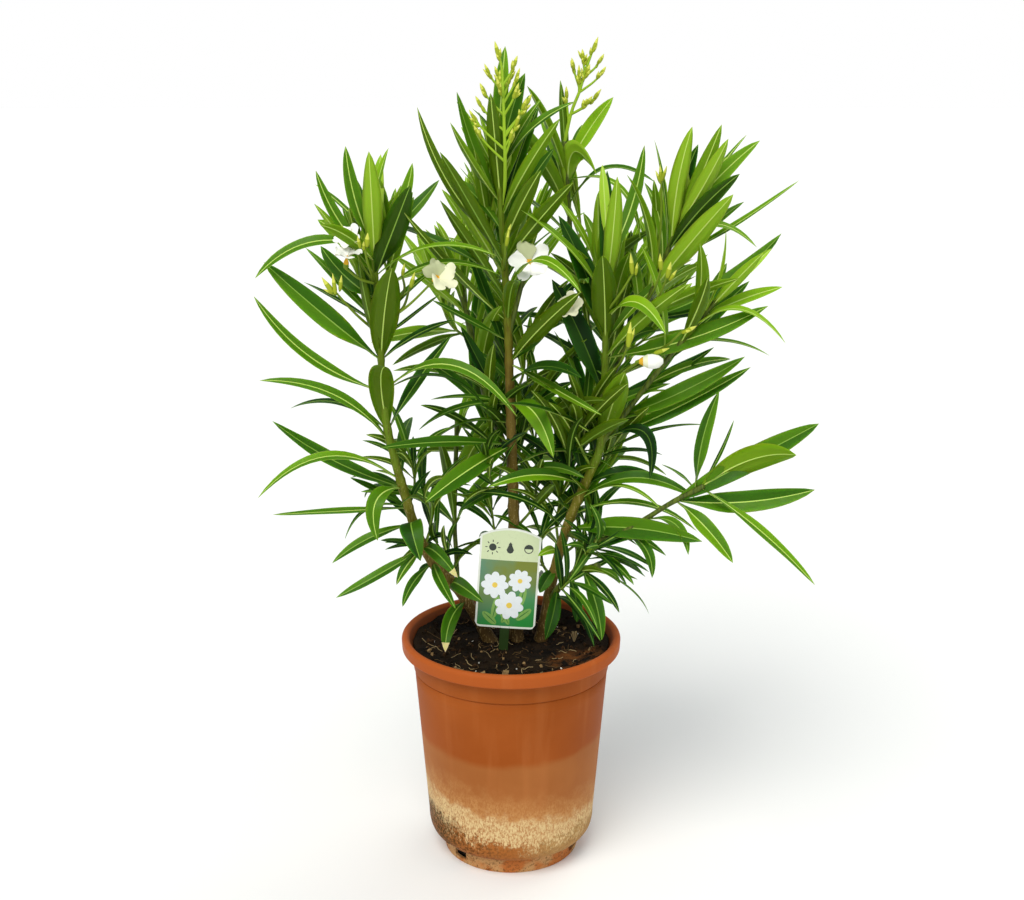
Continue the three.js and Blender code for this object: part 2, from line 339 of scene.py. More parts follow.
def leafy(name, colour, rough=0.45, specular=0.12):
    """A plain green with a waxy, slightly uneven gloss, that lets some light through."""
    made = Nodes(name, colour, rough, specular)
    made.shader.inputs["Subsurface Weight"].default_value = LEAF_GLOW
    made.shader.inputs["Subsurface Radius"].default_value = LEAF_GLOW_REACH
    made.shader.inputs["Subsurface Scale"].default_value = 1.0
    made.rough(made.between(made.noise(90), *NOISE_ENDS, rough - 0.07, rough + 0.1))
    made.bump(made.noise(160, detail=2), 0.35, 0.0006)
    return made.material


# Greens of the leaves, from the shade inside the crown to leaves that the light shines through.
LEAF_TOPS = {
    "leaf_deep": (16, 44, 6),
    "leaf_dark": (30, 66, 6),
    "leaf_green": (52, 94, 6),
    "leaf_mid": (76, 118, 10),
    "leaf_fresh": (100, 142, 12),
    "leaf_bright": (126, 166, 18),
    "leaf_lime": (154, 190, 50),
}
LEAF_BACKS = {
    "back_dark": (46, 72, 6),
    "back_olive": (78, 104, 6),
    "back_fresh": (104, 138, 16),
    "back_lime": (134, 168, 34),
}
LEAF_LINES = {
    "rib_dark": (132, 166, 66),
    "rib_light": (186, 210, 104),
    "rib_deep": (78, 112, 34),
    "margin_dark": (70, 104, 26),
    "margin_light": (148, 178, 64),
}
LEAF_LOOKS = {**LEAF_TOPS, **LEAF_BACKS, **LEAF_LINES}
RIB_DARK, RIB_LIGHT, RIB_DEEP, MARGIN_DARK, MARGIN_LIGHT = map([*LEAF_LOOKS].index, LEAF_LINES)
DRY_TIP = len(LEAF_LOOKS)


def leaf_materials():
    made = [leafy(name, colour) for name, colour in LEAF_LOOKS.items()]
    return [*made, leafy("dry_tip", (206, 196, 132), rough=0.7)]


# Where the bark turns from brown to olive.
OLIVE_FROM = {"stem_left": 0.37, "stem_centre": 0.55, "stem_right": 0.36}


def bark_material(stem):
    """Brown at the foot, olive from there up and green at the tips, with pale lenticels."""
    made = Nodes("bark_" + stem, (124, 104, 34), 0.55, 0.2)
    height = made.plus(made.axis(2), made.between(made.noise(22), *NOISE_ENDS, -0.03, 0.03))
    olive = OLIVE_FROM[stem]
    low = made.mix(made.between(height, 0.235, 0.33), (84, 62, 28), (114, 94, 34))
    high = made.mix(made.between(height, olive + 0.02, olive + 0.12), (112, 112, 22), (98, 124, 18))
    plain = made.mix(made.between(height, olive - 0.05, olive + 0.05), low, high)
    streaks = made.noise(60, detail=5, stretch=(7, 7, 1), rough=0.7)
    streaked = made.mix(made.between(streaks, 0.45, 0.72, 0, 0.6), plain, (76, 54, 14))
    pale = made.noise(75, detail=4, stretch=(9, 9, 1.2), rough=0.6)
    scars = made.times(made.between(pale, 0.58, 0.66), made.between(height, 0.5, 0.42, 0, 0.45))
    scarred = made.mix(scars, streaked, (196, 172, 116))
    dots = made.add("ShaderNodeTexVoronoi", Vector=made.place, Scale=300).outputs["Distance"]
    pores = made.times(made.between(dots, 0.12, 0.28, 1, 0), made.between(height, 0.6, 0.34, 0, 0.5))
    made.colour(made.mix(pores, scarred, (186, 158, 104)))
    made.rough(made.between(streaks, *NOISE_ENDS, 0.45, 0.7))
    made.bump(streaks, 0.6, 0.0008)
    return made.material


def green_bark_material(name, dark, light):
    """The skin of young wood: green with long darker streaks."""
    made = Nodes(name, light, 0.5, 0.3)
    streaks = made.noise(70, detail=4, stretch=(5, 5, 1))
    made.colour(made.mix(made.between(streaks, 0.35, 0.7), light, dark))
    made.bump(streaks, 0.4, 0.0005)
    return made.material


# Heights on the pot, in metres, between which its colours change.
BLEACHED = (0.137, 0.148)
RIM_REDDER = (0.230, 0.238)
# Above this height the inside of the rim is darker: painted shade.
INNER_SHADE_FROM = (0.2374, 0.2380)
LIME_TOP = (0.081, 0.066)
LIME_BOTTOM = (0.031, 0.043)
HALO_TOP = (0.112, 0.072)
HALO_BOTTOM = (0.034, 0.054)
ALGAE_TOP = (0.050, 0.036)
SLIME_TOP = (0.056, 0.044)
FOOT_TOP = (0.0195, 0.0180)
LINE_LOW = (0.0182, 0.0192)
LINE_HIGH = (0.0212, 0.0202)
INNER_SQUARE = 0.1125**2  # nearer the pot's middle than this, squared, is its inner wall


def pot_plastic(made, cloud):
    """Terracotta colour, bleached on the lower half and redder on the rim, with painted shade inside the
    rim.
    """
    height = made.axis(2)
    upper = made.mix(made.between(cloud, *NOISE_ENDS), (147, 72, 20), (160, 82, 30))
    lower = made.mix(made.between(cloud, *NOISE_ENDS), (154, 90, 42), (168, 104, 54))
    edge = made.plus(height, made.between(made.noise(14), *NOISE_ENDS, -0.004, 0.004))
    body = made.mix(made.between(edge, *BLEACHED), lower, upper)
    body = made.mix(made.between(height, *RIM_REDDER), body, (169, 83, 32))
    streaks = made.noise(40, detail=3, stretch=(1.4, 1.4, 0.12))
    body = made.mix(made.between(streaks, 0.5, 0.75, 0, 0.15), body, (190, 118, 66))
    x_square = made.times(made.axis(0), made.axis(0))
    y_square = made.times(made.axis(1), made.axis(1))
    inner = made.between(made.plus(x_square, y_square), INNER_SQUARE, INNER_SQUARE * 0.97)
    # Painted shade: the inside of the rim, above the soil, is a darker terracotta.
    return made.mix(made.times(inner, made.between(height, *INNER_SHADE_FROM)), body, (122, 62, 28))


def lime_edges(made, grains):
    """The height, as if the lime's top and bottom were level: both wave a little, and both lie
    lower at the front than at the sides."""
    across = made.axis(0)
    square = made.times(across, across)
    loose = made.between(made.noise(60, detail=5, rough=0.7), *NOISE_ENDS, -0.009, 0.009)
    loose = made.plus(loose, made.between(grains, *NOISE_ENDS, -0.006, 0.006))
    ragged = made.plus(made.axis(2), loose)
    top = made.minus(made.plus(ragged, made.times(across, 0.14)), made.times(square, 0.4))
    bottom = made.minus(made.plus(ragged, made.times(across, 0.05)), made.times(square, 0.9))
    return top, bottom


def pot_algae(made, limed, top, bottom, specks):
    """Brown algae specks below the lime, most of them on the left, and how many there are."""
    across = made.axis(0)
    under = made.between(bottom, *ALGAE_TOP)
    earth = made.mix(made.between(across, 0.0, 0.05), (164, 98, 42), (176, 140, 84))
    stained = made.mix(made.times(under, 0.75), limed, earth)
    left = made.times(under, made.between(across, 0.01, -0.05, 0.35, 1.0))
    algae = made.times(left, made.between(specks, 0.46, 0.58, 0, 0.9))
    stained = made.mix(algae, stained, (88, 54, 20))
    corner = made.times(made.between(across, -0.045, -0.078), made.between(top, *SLIME_TOP))
    slime = made.times(corner, made.between(specks, 0.42, 0.56, 0.3, 0.9))
    return made.mix(slime, stained, (70, 54, 22)), algae


def pot_foot(made, stained, specks):
    """The foot: tan and rusty patches under a clean red line."""
    height = made.axis(2)
    foot = made.between(height, *FOOT_TOP)
    tan = made.mix(made.between(made.noise(45, detail=3), 0.45, 0.62), (196, 150, 98), (186, 110, 54))
    footed = made.mix(made.times(foot, 0.95), stained, tan)
    rust = made.times(foot, made.between(specks, 0.50, 0.62, 0, 0.8))
    footed = made.mix(rust, footed, (92, 60, 30))
    line = made.times(made.between(height, *LINE_LOW), made.between(height, *LINE_HIGH))
    return made.mix(made.times(line, 0.8), footed, (176, 84, 30))


def pot_material():
    """Plastic with a band of lime low down and algae specks below it."""
    made = Nodes("pot", (157, 84, 34), 0.5, 0.08)
    cloud = made.noise(9, detail=4)
    grains = made.noise(600, detail=4, stretch=(1, 1, 0.45), rough=0.7)
    specks = made.noise(330, detail=5, rough=0.8)
    top, bottom = lime_edges(made, grains)
    halo = made.times(made.between(top, *HALO_TOP), made.between(bottom, *HALO_BOTTOM))
    halo = made.times(halo, made.between(grains, 0.4, 0.6, 0.2, 0.8))
    band = made.times(made.between(top, *LIME_TOP), made.between(bottom, *LIME_BOTTOM))
    patchy = made.times(band, made.between(grains, 0.40, 0.60, 0.2, 0.95))
    limed = made.mix(halo, pot_plastic(made, cloud), (196, 146, 88))
    limed = made.mix(patchy, limed, (220, 194, 142))
    stained, algae = pot_algae(made, limed, top, bottom, specks)
    made.colour(pot_foot(made, stained, specks))
    gloss = made.between(cloud, *NOISE_ENDS, 0.48, 0.6)
    made.rough(made.greatest(made.times(made.greatest(patchy, algae), 0.85), gloss))
    relief = made.plus(made.times(made.noise(300, detail=2), 0.25), made.times(patchy, grains))
    made.bump(relief, 0.5, 0.0006)
    return made.material


def soil_material():
    """Dark wet compost with a reddish patch at the front right."""
    made = Nodes("soil", (30, 22, 12), 0.95, 0.1)
    cloud = made.noise(30, detail=6, rough=0.7)
    dark = made.mix(made.between(cloud, 0.35, 0.65), (12, 8, 4), (40, 28, 15))
    x_way = made.minus(made.axis(0), 0.072)
    y_way = made.plus(made.axis(1), 0.04)
    far = made.plus(made.times(x_way, x_way), made.times(y_way, y_way))
    patch = made.times(made.between(far, 0.0014, 0.0003), made.between(cloud, 0.4, 0.56))
    made.colour(made.mix(made.times(patch, 0.8), dark, (112, 66, 26)))
    made.bump(made.noise(400, detail=5, rough=0.8), 1.0, 0.002)
    return made.material


def plain_material(name, colour, rough=0.6, specular=0.4, grain=300, deep=0.0004):
    """One colour with a fine grain."""
    made = Nodes(name, colour, rough, specular)
    fine = made.noise(grain, detail=3)
    made.rough(made.between(fine, *NOISE_ENDS, rough - 0.06, rough + 0.06))
    made.bump(fine, 0.3, deep)
    return made.material


# ---------------------------------------------------------------------------------------------
# Limbs
# ---------------------------------------------------------------------------------------------

RING_APART = 14  # a larger step than this along a CAD limb leads to its next ring
LIMB_STEP = 3
FOOT_INTO = 7  # how far a limb's foot goes back into what carries it
SHOOT_THIN = 1.1  # the least radius of a shoot


def mesh_points(node):
    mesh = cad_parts[node].data
    points = np.empty(len(mesh.vertices) * 3)
    mesh.vertices.foreach_get("co", points)
    return np.unique(points.reshape(-1, 3).round(7), axis=0) * METRE


def cad_limb(node):
    """The middle points and radii of a CAD limb's rings, from its foot to its tip."""
    points = mesh_points(node)
    axis = unit(points[points[:, 2].argmax()] - points[points[:, 2].argmin()])
    points = points[(points @ axis).argsort()]
    breaks = np.where(np.diff(points @ axis) > RING_APART)[0] + 1
    rings = np.split(points, breaks)
    middles = [ring.mean(0) for ring in rings]
    radii = [np.linalg.norm(ring - ring.mean(0), axis=1).mean() for ring in rings]
    return middles, radii


def spline(points, step):
    """A smooth line through points, as evenly spaced points."""
    points = np.array(points, float)
    ends = np.vstack([2 * points[0] - points[1], points, 2 * points[-1] - points[-2]])
    line = []
    share = np.linspace(0, 1, 12, endpoint=False)[:, None]
    for before, start, end, after in zip(ends, ends[1:], ends[2:], ends[3:]):
        line.append(0.5 * (2 * start + (end - before) * share
                           + (2 * before - 5 * start + 4 * end - after) * share**2
                           + (3 * start - before - 3 * end + after) * share**3))
    line = np.vstack([*line, points[-1:]])
    along = np.r_[0, np.cumsum(np.linalg.norm(np.diff(line, axis=0), axis=1))]
    even = np.linspace(0, along[-1], max(2, round(along[-1] / step) + 1))
    return np.stack([np.interp(even, along, line[:, axis]) for axis in range(3)], 1)


def frames(line):
    """The ways ahead, aside and up at each point of a line, turned as little as can be."""
    ahead = np.gradient(line, axis=0)
    ahead /= np.linalg.norm(ahead, axis=1)[:, None]
    start = np.array([0.0, 1.0, 0.0]) if abs(ahead[0][1]) < 0.9 else np.array([1.0, 0.0, 0.0])
    aside = []
    for way in ahead:
        start = unit(start - (start @ way) * way)
        aside.append(start)
    aside = np.array(aside)
    return ahead, aside, np.cross(ahead, aside)


CAP_LENGTH = 0.6  # of a limb's rounded tip, as a share of its radius
CAP_NARROW = 0.35  # the radius of the cap's last ring, as a share of the ring before


def tube(sheet, line, radii, sides, slot, relief=None):
    """A round limb along a line. relief gives how far the skin stands out at each point."""
    _, aside, up = frames(line)
    turn = np.linspace(0, 2 * math.pi, sides, endpoint=False)
    radii = np.broadcast_to(np.asarray(radii, float), len(line))
    rings = []
    for point, first, second, radius in zip(line, aside, up, radii):
        ways = np.outer(np.cos(turn), first) + np.outer(np.sin(turn), second)
        reach = np.full(sides, radius)
        if relief:
            reach = reach + [relief(point + way * radius) for way in ways]
        rings.append(point + ways * reach[:, None])
    tip = line[-1] + unit(line[-1] - line[-2]) * radii[-1] * CAP_LENGTH
    rings.append(np.tile(tip, (sides, 1)) + (rings[-1] - line[-1]) * CAP_NARROW)
    rings.append(np.tile(tip, (sides, 1)))
    sheet.grid(rings, slot, closed=True)


RIDGE_SCALE = (0.55, 0.55, 0.06)
RIDGE_RISE = 0.45
WART_SCALE = 0.45
WART_RISE = 0.5
WART_FROM = 0.25


def bark_relief(point):
    """Ridges that run along the bark, and small warts."""
    ridges = noise.noise(Vector(point * RIDGE_SCALE))
    warts = noise.noise(Vector(point * WART_SCALE))
    return RIDGE_RISE * ridges + WART_RISE * max(0.0, warts - WART_FROM)


class Limb:
    """A stem or bough of the frame with its green tip: a smooth line and how thick it is."""

    def __init__(self, node, *green_tip):
        middles, radii = cad_limb(node)
        back = unit(middles[0] - middles[1])
        points = [middles[0] + back * FOOT_INTO, *middles, *map(vec, green_tip)]
        self.line = spline(points, LIMB_STEP)
        top = middles[-1]
        bark_end = np.linalg.norm(self.line - top, axis=1).argmin()
        share = np.clip(np.arange(len(self.line)) / max(1, bark_end), 0, None)
        first = radii[min(1, len(radii) - 1)]
        last = radii[-2] if len(radii) > 2 else radii[-1]
        self.radii = np.clip(first + (last - first) * share, SHOOT_THIN, None)
        self.ahead = frames(self.line)[0]
        self.along = np.arange(len(self.line)) * LIMB_STEP
        self.node = node

    def at(self, height):
        """The index of the line's point at that height."""
        return int(np.abs(self.line[:, 2] - height).argmin())


# ---------------------------------------------------------------------------------------------
# Leaves
# ---------------------------------------------------------------------------------------------

LEAF_STEPS = 16
PETIOLE = 1.5  # half its width
BLADE_THICK = 0.4
BLADE_POINTED = 0.76  # a higher power gives a narrower foot and tip
TIP_HALF = 0.12
RIB_MOST = 0.8  # half the rib's width at the foot
RIB_TAPER = 0.45
KEEL_DEEP = 0.9  # how far the rib stands out below, at the foot
RIPPLE = 0.07  # of the margin, as a share of half the leaf's width
FLATTER_OUT = 0.35  # how much the fold flattens towards the margin
TWIST = 16  # degrees from foot to tip, either way
FOLD = (10, 27)  # degrees that each half of a blade rises
RIPPLES = (1.0, 2.6)  # along a leaf
TURN_DONE = 0.45  # the share of the length over which a blade turns to the front
# Across the blade: margin, outer and inner half, rib, and back again along the underside.
TOP_COLUMNS = (-1, -0.955, -0.5, -0.001, 0.001, 0.5, 0.955, 1)
BACK_COLUMNS = (0.5, 0.001, 0, -0.001, -0.5)


def blade_width(share):
    """How wide a lance-shaped leaf is along its length, 1 at its widest."""
    shape = share**BLADE_POINTED * (1 - share) ** BLADE_POINTED
    return shape / 0.5 ** (2 * BLADE_POINTED)


def leaf_frames(base, tip, axis, bow, face, twist):
    """The middle line of a leaf and the ways across it and up from it."""
    share = np.linspace(0, 1, LEAF_STEPS + 1)[:, None]
    chord = tip - base
    ahead = unit(chord)
    outward = unit(ahead - (ahead @ axis) * axis)
    lift = axis + 1.5 * max(0.0, -(ahead @ axis)) * outward
    lift = unit(lift - (lift @ ahead) * ahead)
    bend = base + chord * 0.5 + lift * 2 * bow
    line = (1 - share) ** 2 * base + 2 * share * (1 - share) * bend + share**2 * tip
    run = 2 * (1 - share) * (bend - base) + 2 * share * (tip - bend)
    run /= np.linalg.norm(run, axis=1)[:, None]
    across = np.tile(unit(np.cross(ahead, lift)), (LEAF_STEPS + 1, 1))
    up = np.cross(across, run)

    # The blade turns its upper or lower side to the front, whichever is nearer.
    middle = LEAF_STEPS // 2
    roll = math.atan2(TOWARDS_CAMERA @ across[middle], TOWARDS_CAMERA @ up[middle])
    if abs(roll) > math.pi / 2:
        roll -= math.copysign(math.pi, roll)
    turn = face * roll * smooth(share / TURN_DONE) + math.radians(twist) * share
    turned_up = up * np.cos(turn) + across * np.sin(turn)
    turned_across = across * np.cos(turn) - up * np.sin(turn)
    return line, turned_across, turned_up


def add_leaf(sheet, dice, base, tip, axis, wide, bow=4.0, face=0.5, tone=3.0, dry=False):
    """One leaf as a thin closed blade, folded along its pale rib, with a pale margin."""
    line, across, up = leaf_frames(base, tip, axis, bow, face, dice.uniform(-TWIST, TWIST))
    share = np.linspace(0, 1, LEAF_STEPS + 1)
    half = np.maximum(wide / 2 * blade_width(share), PETIOLE * (1 - share) ** 4)
    half[-1] = TIP_HALF
    rib = np.minimum(half * 0.3, RIB_MOST - RIB_TAPER * share)
    thick = BLADE_THICK * np.minimum(1, half / 2)
    fold = math.radians(dice.uniform(*FOLD))
    waves = dice.uniform(*RIPPLES)
    phase = dice.uniform(0, 6.28)
    rows = np.zeros((LEAF_STEPS + 1, len(TOP_COLUMNS) + len(BACK_COLUMNS), 3))
    for column, place in enumerate(TOP_COLUMNS + BACK_COLUMNS):
        off = rib * np.sign(place) if abs(place) == 0.001 else half * place
        out = np.abs(off) / np.maximum(half, 0.1)
        ripple = RIPPLE * half * out**2 * np.sin(waves * 2 * math.pi * share + phase + place)
        rise = np.abs(off) * math.tan(fold) * (1 - FLATTER_OUT * out) + ripple
        if column >= len(TOP_COLUMNS):
            rise = rise - thick
            if place == 0:
                rise = rise - np.minimum(KEEL_DEEP, half * 0.35) * (1 - share)
        rows[:, column] = line + across * off[:, None] + up * rise[:, None]
    sheet.grid(rows, leaf_slots(dice, tone, dry), closed=True, under=len(TOP_COLUMNS) - 1)


DRY_STEPS = 2


def leaf_slots(dice, tone, dry):
    """Which colour each part of a leaf has: halves that differ a little as painted fold shade, rib,
    margin, back.
    """
    # Painted shade: the halves of the folded blade get tones a little apart, as if one caught less
    # light.
    fold_shaded_halves = [round(tone + dice.uniform(-0.6, 0.6)) for _ in range(2)]
    left, right = np.clip(fold_shaded_halves, 0, len(LEAF_TOPS) - 1)
    back = len(LEAF_TOPS) + int(np.clip(round(tone * 0.6 - 0.2), 0, len(LEAF_BACKS) - 1))
    rib = RIB_LIGHT if tone > 2.6 else RIB_DARK if tone > 1.2 else RIB_DEEP
    margin = MARGIN_LIGHT if tone > 3 else MARGIN_DARK if tone > 1 else left
    keel = RIB_LIGHT if tone > 1.6 else RIB_DARK
    across = [margin, left, left, rib, right, right, margin, back, back, keel, keel, back, back]
    slots = np.tile(across, (LEAF_STEPS, 1))
    if dry:
        slots[-DRY_STEPS:] = DRY_TIP
    return slots


# ---------------------------------------------------------------------------------------------
# How shoots grow
# ---------------------------------------------------------------------------------------------

# Read by how far below the tip of its shoot a leaf stands.
ANGLE_OFF = [(0, 13), (20, 23), (60, 36), (120, 50), (220, 66), (340, 84), (480, 98)]
LEAF_LENGTH = [(0, 66), (15, 96), (40, 122), (90, 138), (200, 140), (330, 124), (480, 96)]
DROOP = [(0, 0.0), (60, 0.03), (150, 0.10), (300, 0.18), (480, 0.22)]
BOW = [(0, 0.03), (60, 0.06), (150, 0.10), (300, 0.15), (480, 0.18)]
# Paler at the young tip and darker further down, which is partly painted shade inside the crown.
TONE_AND_SHADE = [(0, 5.3), (40, 4.4), (120, 2.8), (250, 1.6), (480, 0.9)]
FULLNESS = [(0, 1.4), (180, 1.1), (350, 0.85)]  # how far the places round a node are filled
SLENDER_LEAST = [(0, 0.105), (70, 0.1), (180, 0.06)]  # width as a share of length
SLENDER_MOST = [(0, 0.155), (180, 0.14)]
LEAVES_ROUND = 3
NEXT_WHORL = 60
CLOSE_ROUND = 50  # a leaf of the rule keeps this far from one that was asked for
FRONT = 270  # the way round that faces the front
FRONT_HALF = 50
MASS_SLACK = 14
SWINGS = (0, 35, -35)  # turns that a leaf tries so as not to leave the crown or shut an opening
BOX_SLACK = 4
RULE_WIDTH = (6, 22)
SHORTEN = 0.92  # how a leaf of the rule that ends outside the masses is tried again
SHORTENINGS = 4
STALK_FREE = 1.5  # a leaf of the rule starts this far along its way
SPREAD = 12  # degrees, either way, that a leaf of the rule strays round its shoot
CROWN_LOW = vec(cad_box[0]) * METRE - BOX_SLACK
CROWN_HIGH = vec(cad_box[1]) * METRE + BOX_SLACK


def leaf_masses():
    """The surfaces of the frame's masses of leaves, to look up how near a point is."""
    trees = []
    for name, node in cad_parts.items():
        if name.startswith("mass_") and "blossom" not in name:
            points = [vertex.co * METRE for vertex in node.data.vertices]
            faces = [tuple(face.vertices) for face in node.data.polygons]
            trees.append(BVHTree.FromPolygons(points, faces))
    return trees


LEAF_MASSES = leaf_masses()


# Where the crown is open to the sky, as seen from the front: x, z and radius.
OPEN_SKY = [
    (-120, 745, 12), (-87, 745, 14), (-65, 705, 8), (-60, 690, 7), (-92, 606, 15), (-100, 572, 13),
    (-62, 566, 13), (-66, 518, 17), (-92, 486, 15), (-60, 470, 8), (-48, 366, 9), (30, 632, 17),
    (36, 566, 13), (40, 820, 14), (55, 800, 8), (75, 721, 10), (112, 715, 8), (163, 666, 10),
    (150, 478, 16), (178, 470, 22), (165, 505, 12), (120, 440, 8), (128, 396, 9), (112, 402, 8),
    (242, 672, 12), (268, 650, 14), (12, 866, 16), (-28, 862, 14), (116, 262, 12), (-100, 395, 7),
    (150, 760, 9), (-20, 376, 9), (-20, 850, 9), (73, 768, 13), (122, 250, 12), (-78, 610, 8),
    (-80, 592, 6), (-58, 556, 6), (-78, 498, 5), (-55, 476, 7), (-78, 447, 7), (-103, 428, 6),
    (-66, 388, 7), (-14, 398, 7), (-46, 366, 8), (14, 552, 8), (42, 560, 9), (9, 534, 6), (40, 518, 6),
    (130, 438, 9), (104, 432, 5), (32, 386, 6), (38, 352, 6), (60, 306, 9), (100, 312, 7),
    (118, 300, 6), (-178, 712, 7), (-167, 630, 8), (258, 618, 6), (228, 668, 8), (222, 571, 6),
    (190, 508, 8), (108, 748, 6), (122, 745, 5), (10, 610, 6), (-125, 278, 9), (-142, 250, 9),
    (28, 492, 8), (-85, 823, 9), (-70, 804, 7), (-92, 778, 7), (66, 712, 8), (50, 706, 6), (78, 731, 7),
    (113, 724, 6), (-140, 225, 12),
]
SKY_SIGHTS = [(unit(vec((x, 0, z)) - vec(CAMERA_AT)), radius) for x, z, radius in OPEN_SKY]
LEAF_FREE = LEAF_STEPS // 4  # the steps of a leaf nearest its limb, which may cross an opening


def shuts_sky(line):
    """Whether a leaf along a line would cross one of the crown's openings."""
    ways = line[LEAF_FREE:] - vec(CAMERA_AT)
    for sight, radius in SKY_SIGHTS:
        apart = np.linalg.norm(ways - np.outer(ways @ sight, sight), axis=1)
        if (apart < radius).any():
            return True
    return False


# No leaf of the rule may hang in front of the label.
LABEL_CLEAR = (vec((-48, -200, 246)), vec((38, 4, 384)))


def hides_label(line):
    low, high = LABEL_CLEAR
    return any((place > low).all() and (place < high).all() for place in line[LEAF_FREE:])


def in_crown(point):
    """Whether a point is in one of the frame's masses of leaves, or nearly."""
    point = Vector(point)
    for tree in LEAF_MASSES:
        near, normal, _, apart = tree.find_nearest(point)
        if apart < MASS_SLACK or (point - near).dot(normal) < 0:
            return True
    return False


def round_ways(axis):
    """Two ways across a shoot: the first is as near to +X, the second to +Y, as can be."""
    first = unit(np.array([1.0, 0, 0]) - axis[0] * axis)
    return first, np.cross(axis, first)


def way_round(way, axis):
    """The angle round a shoot of a way out from it."""
    first, second = round_ways(axis)
    return math.degrees(math.atan2(way @ second, way @ first)) % 360


def apart_round(first, second):
    return abs((first - second + 180) % 360 - 180)


def rule_leaf(sheet, dice, base, axis, turn, below, scale, tone_and_shade_shift):
    """A leaf whose pose follows from how far it stands below the tip of its shoot."""
    own = random.Random(dice.random())
    off = math.radians(blend(ANGLE_OFF, below) + own.uniform(-9, 9))
    length = blend(LEAF_LENGTH, below) * scale * own.uniform(0.85, 1.12)
    fall = blend(DROOP, below) * own.uniform(0.5, 1.6)
    slender = own.uniform(blend(SLENDER_LEAST, below), blend(SLENDER_MOST, below))
    bow = blend(BOW, below) * own.uniform(0.4, 1.5)
    tone = blend(TONE_AND_SHADE, below) + tone_and_shade_shift + own.uniform(-1.1, 1.1)
    face = own.uniform(0, 0.7)
    first, second = round_ways(axis)
    for swing in SWINGS:
        angle = math.radians(turn + swing)
        way = math.cos(off) * axis + math.sin(off) * (math.cos(angle) * first + math.sin(angle) * second)
        reach = length
        for _ in range(SHORTENINGS):
            tip = base + way * reach - np.array([0, 0, fall * reach])
            if in_crown(tip):
                break
            reach *= SHORTEN
        in_box = (tip > CROWN_LOW).all() and (tip < CROWN_HIGH).all()
        line = leaf_frames(base, tip, axis, bow * reach, face, 0)[0]
        if in_box and not shuts_sky(line) and not hides_label(line):
            wide = float(np.clip(reach * slender, *RULE_WIDTH))
            add_leaf(sheet, own, base + way * STALK_FREE, tip, axis, wide, bow * reach, face, tone)
            return


class Leaf:
    """A leaf that is asked for: the height of its node, where its tip goes and its look."""

    def __init__(self, node, tip, wide=15, bow=4, face=0.5, tone=3.0, dry=False):
        self.node = node
        self.tip = vec(tip)
        self.look = dict(wide=wide, bow=bow, face=face, tone=tone, dry=dry)


class Shoot:
    """A limb with whorls of leaves at its nodes, given by height."""

    def __init__(self, limb, green_tip, nodes, fill=0.6, front=0.3, scale=1.0, tone=0.0):
        self.limb = limb
        self.green_tip = green_tip
        self.nodes = nodes
        self.fill = fill  # the share of free places round a node that the rule fills
        self.front = front  # the same for places that face the front
        self.scale = scale
        # Darker for the shoots at the back and low down: painted shade.
        self.tone = tone
        self.asked = [Leaf(*row) for row in ASKED.get(limb, ())]
        self.twigs = [Twig(*row) for row in TWIGS.get(limb, ())]


def grow_whorl(sheet, dice, limb, shoot, height, turn):
    """Three leaves round a node: those that are asked for, and the rule's in the gaps."""
    index = limb.at(height)
    base = limb.line[index]
    axis = limb.ahead[index]
    below = limb.along[-1] - limb.along[index]
    taken = []
    for leaf in shoot.asked:
        if leaf.node == height:
            add_leaf(sheet, dice, base, leaf.tip, axis, **leaf.look)
            taken.append(way_round(leaf.tip - base, axis))
    if taken:
        turn = taken[0]
    for place in range(LEAVES_ROUND):
        here = (turn + place * 360 / LEAVES_ROUND) % 360
        if any(apart_round(here, other) < CLOSE_ROUND for other in taken):
            continue
        share = shoot.front if apart_round(here, FRONT) < FRONT_HALF else shoot.fill
        if dice.random() < share * blend(FULLNESS, below):
            rule_leaf(sheet, dice, base, axis, here + dice.uniform(-SPREAD, SPREAD), below,
                      shoot.scale, shoot.tone)


class Twig:
    """A short side twig: where it stands on its limb, its length and what its leaves are like.
    aged is how much further from a tip its leaves seem to stand, which splays them."""

    def __init__(self, height, turn, length, scale=0.9, tone=0.0, aged=0):
        self.height = height
        self.turn = turn
        self.length = length
        self.scale = scale
        self.tone = tone
        self.aged = aged


TWIG_WHORLS = (0, 9, 20, 36, 56)  # how far back from its tip
TWIG_RADII = (1.8, 1.1)  # at its foot and its tip
TWIG_BARE = 4  # the steps from its foot that carry no leaf
TWIG_BELOW = 8  # its first whorl stands as if this far below a tip


def grow_twig(sheet, twigs, dice, limb, shoot, twig):
    """A side twig with whorls of its own."""
    index = limb.at(twig.height)
    base = limb.line[index]
    axis = limb.ahead[index]
    first, second = round_ways(axis)
    turn = math.radians(twig.turn)
    outward = math.cos(turn) * first + math.sin(turn) * second
    middle = base + unit(outward + axis * 0.9) * twig.length * 0.55
    tip = base + unit(outward * 0.75 + axis * 1.3) * twig.length
    line = spline([base, middle, tip], LIMB_STEP)
    tube(twigs, line, np.linspace(*TWIG_RADII, len(line)), 7, 0)
    ahead = frames(line)[0]
    whorl = dice.uniform(0, 360)
    for back in TWIG_WHORLS:
        at = len(line) - 1 - round(back / LIMB_STEP)
        if at < TWIG_BARE:
            break
        for place in range(LEAVES_ROUND):
            here = whorl + place * 360 / LEAVES_ROUND + dice.uniform(-SPREAD, SPREAD)
            rule_leaf(sheet, dice, line[at], ahead[at], here, back + TWIG_BELOW + twig.aged,
                      twig.scale * shoot.scale, shoot.tone + twig.tone)
        whorl += NEXT_WHORL
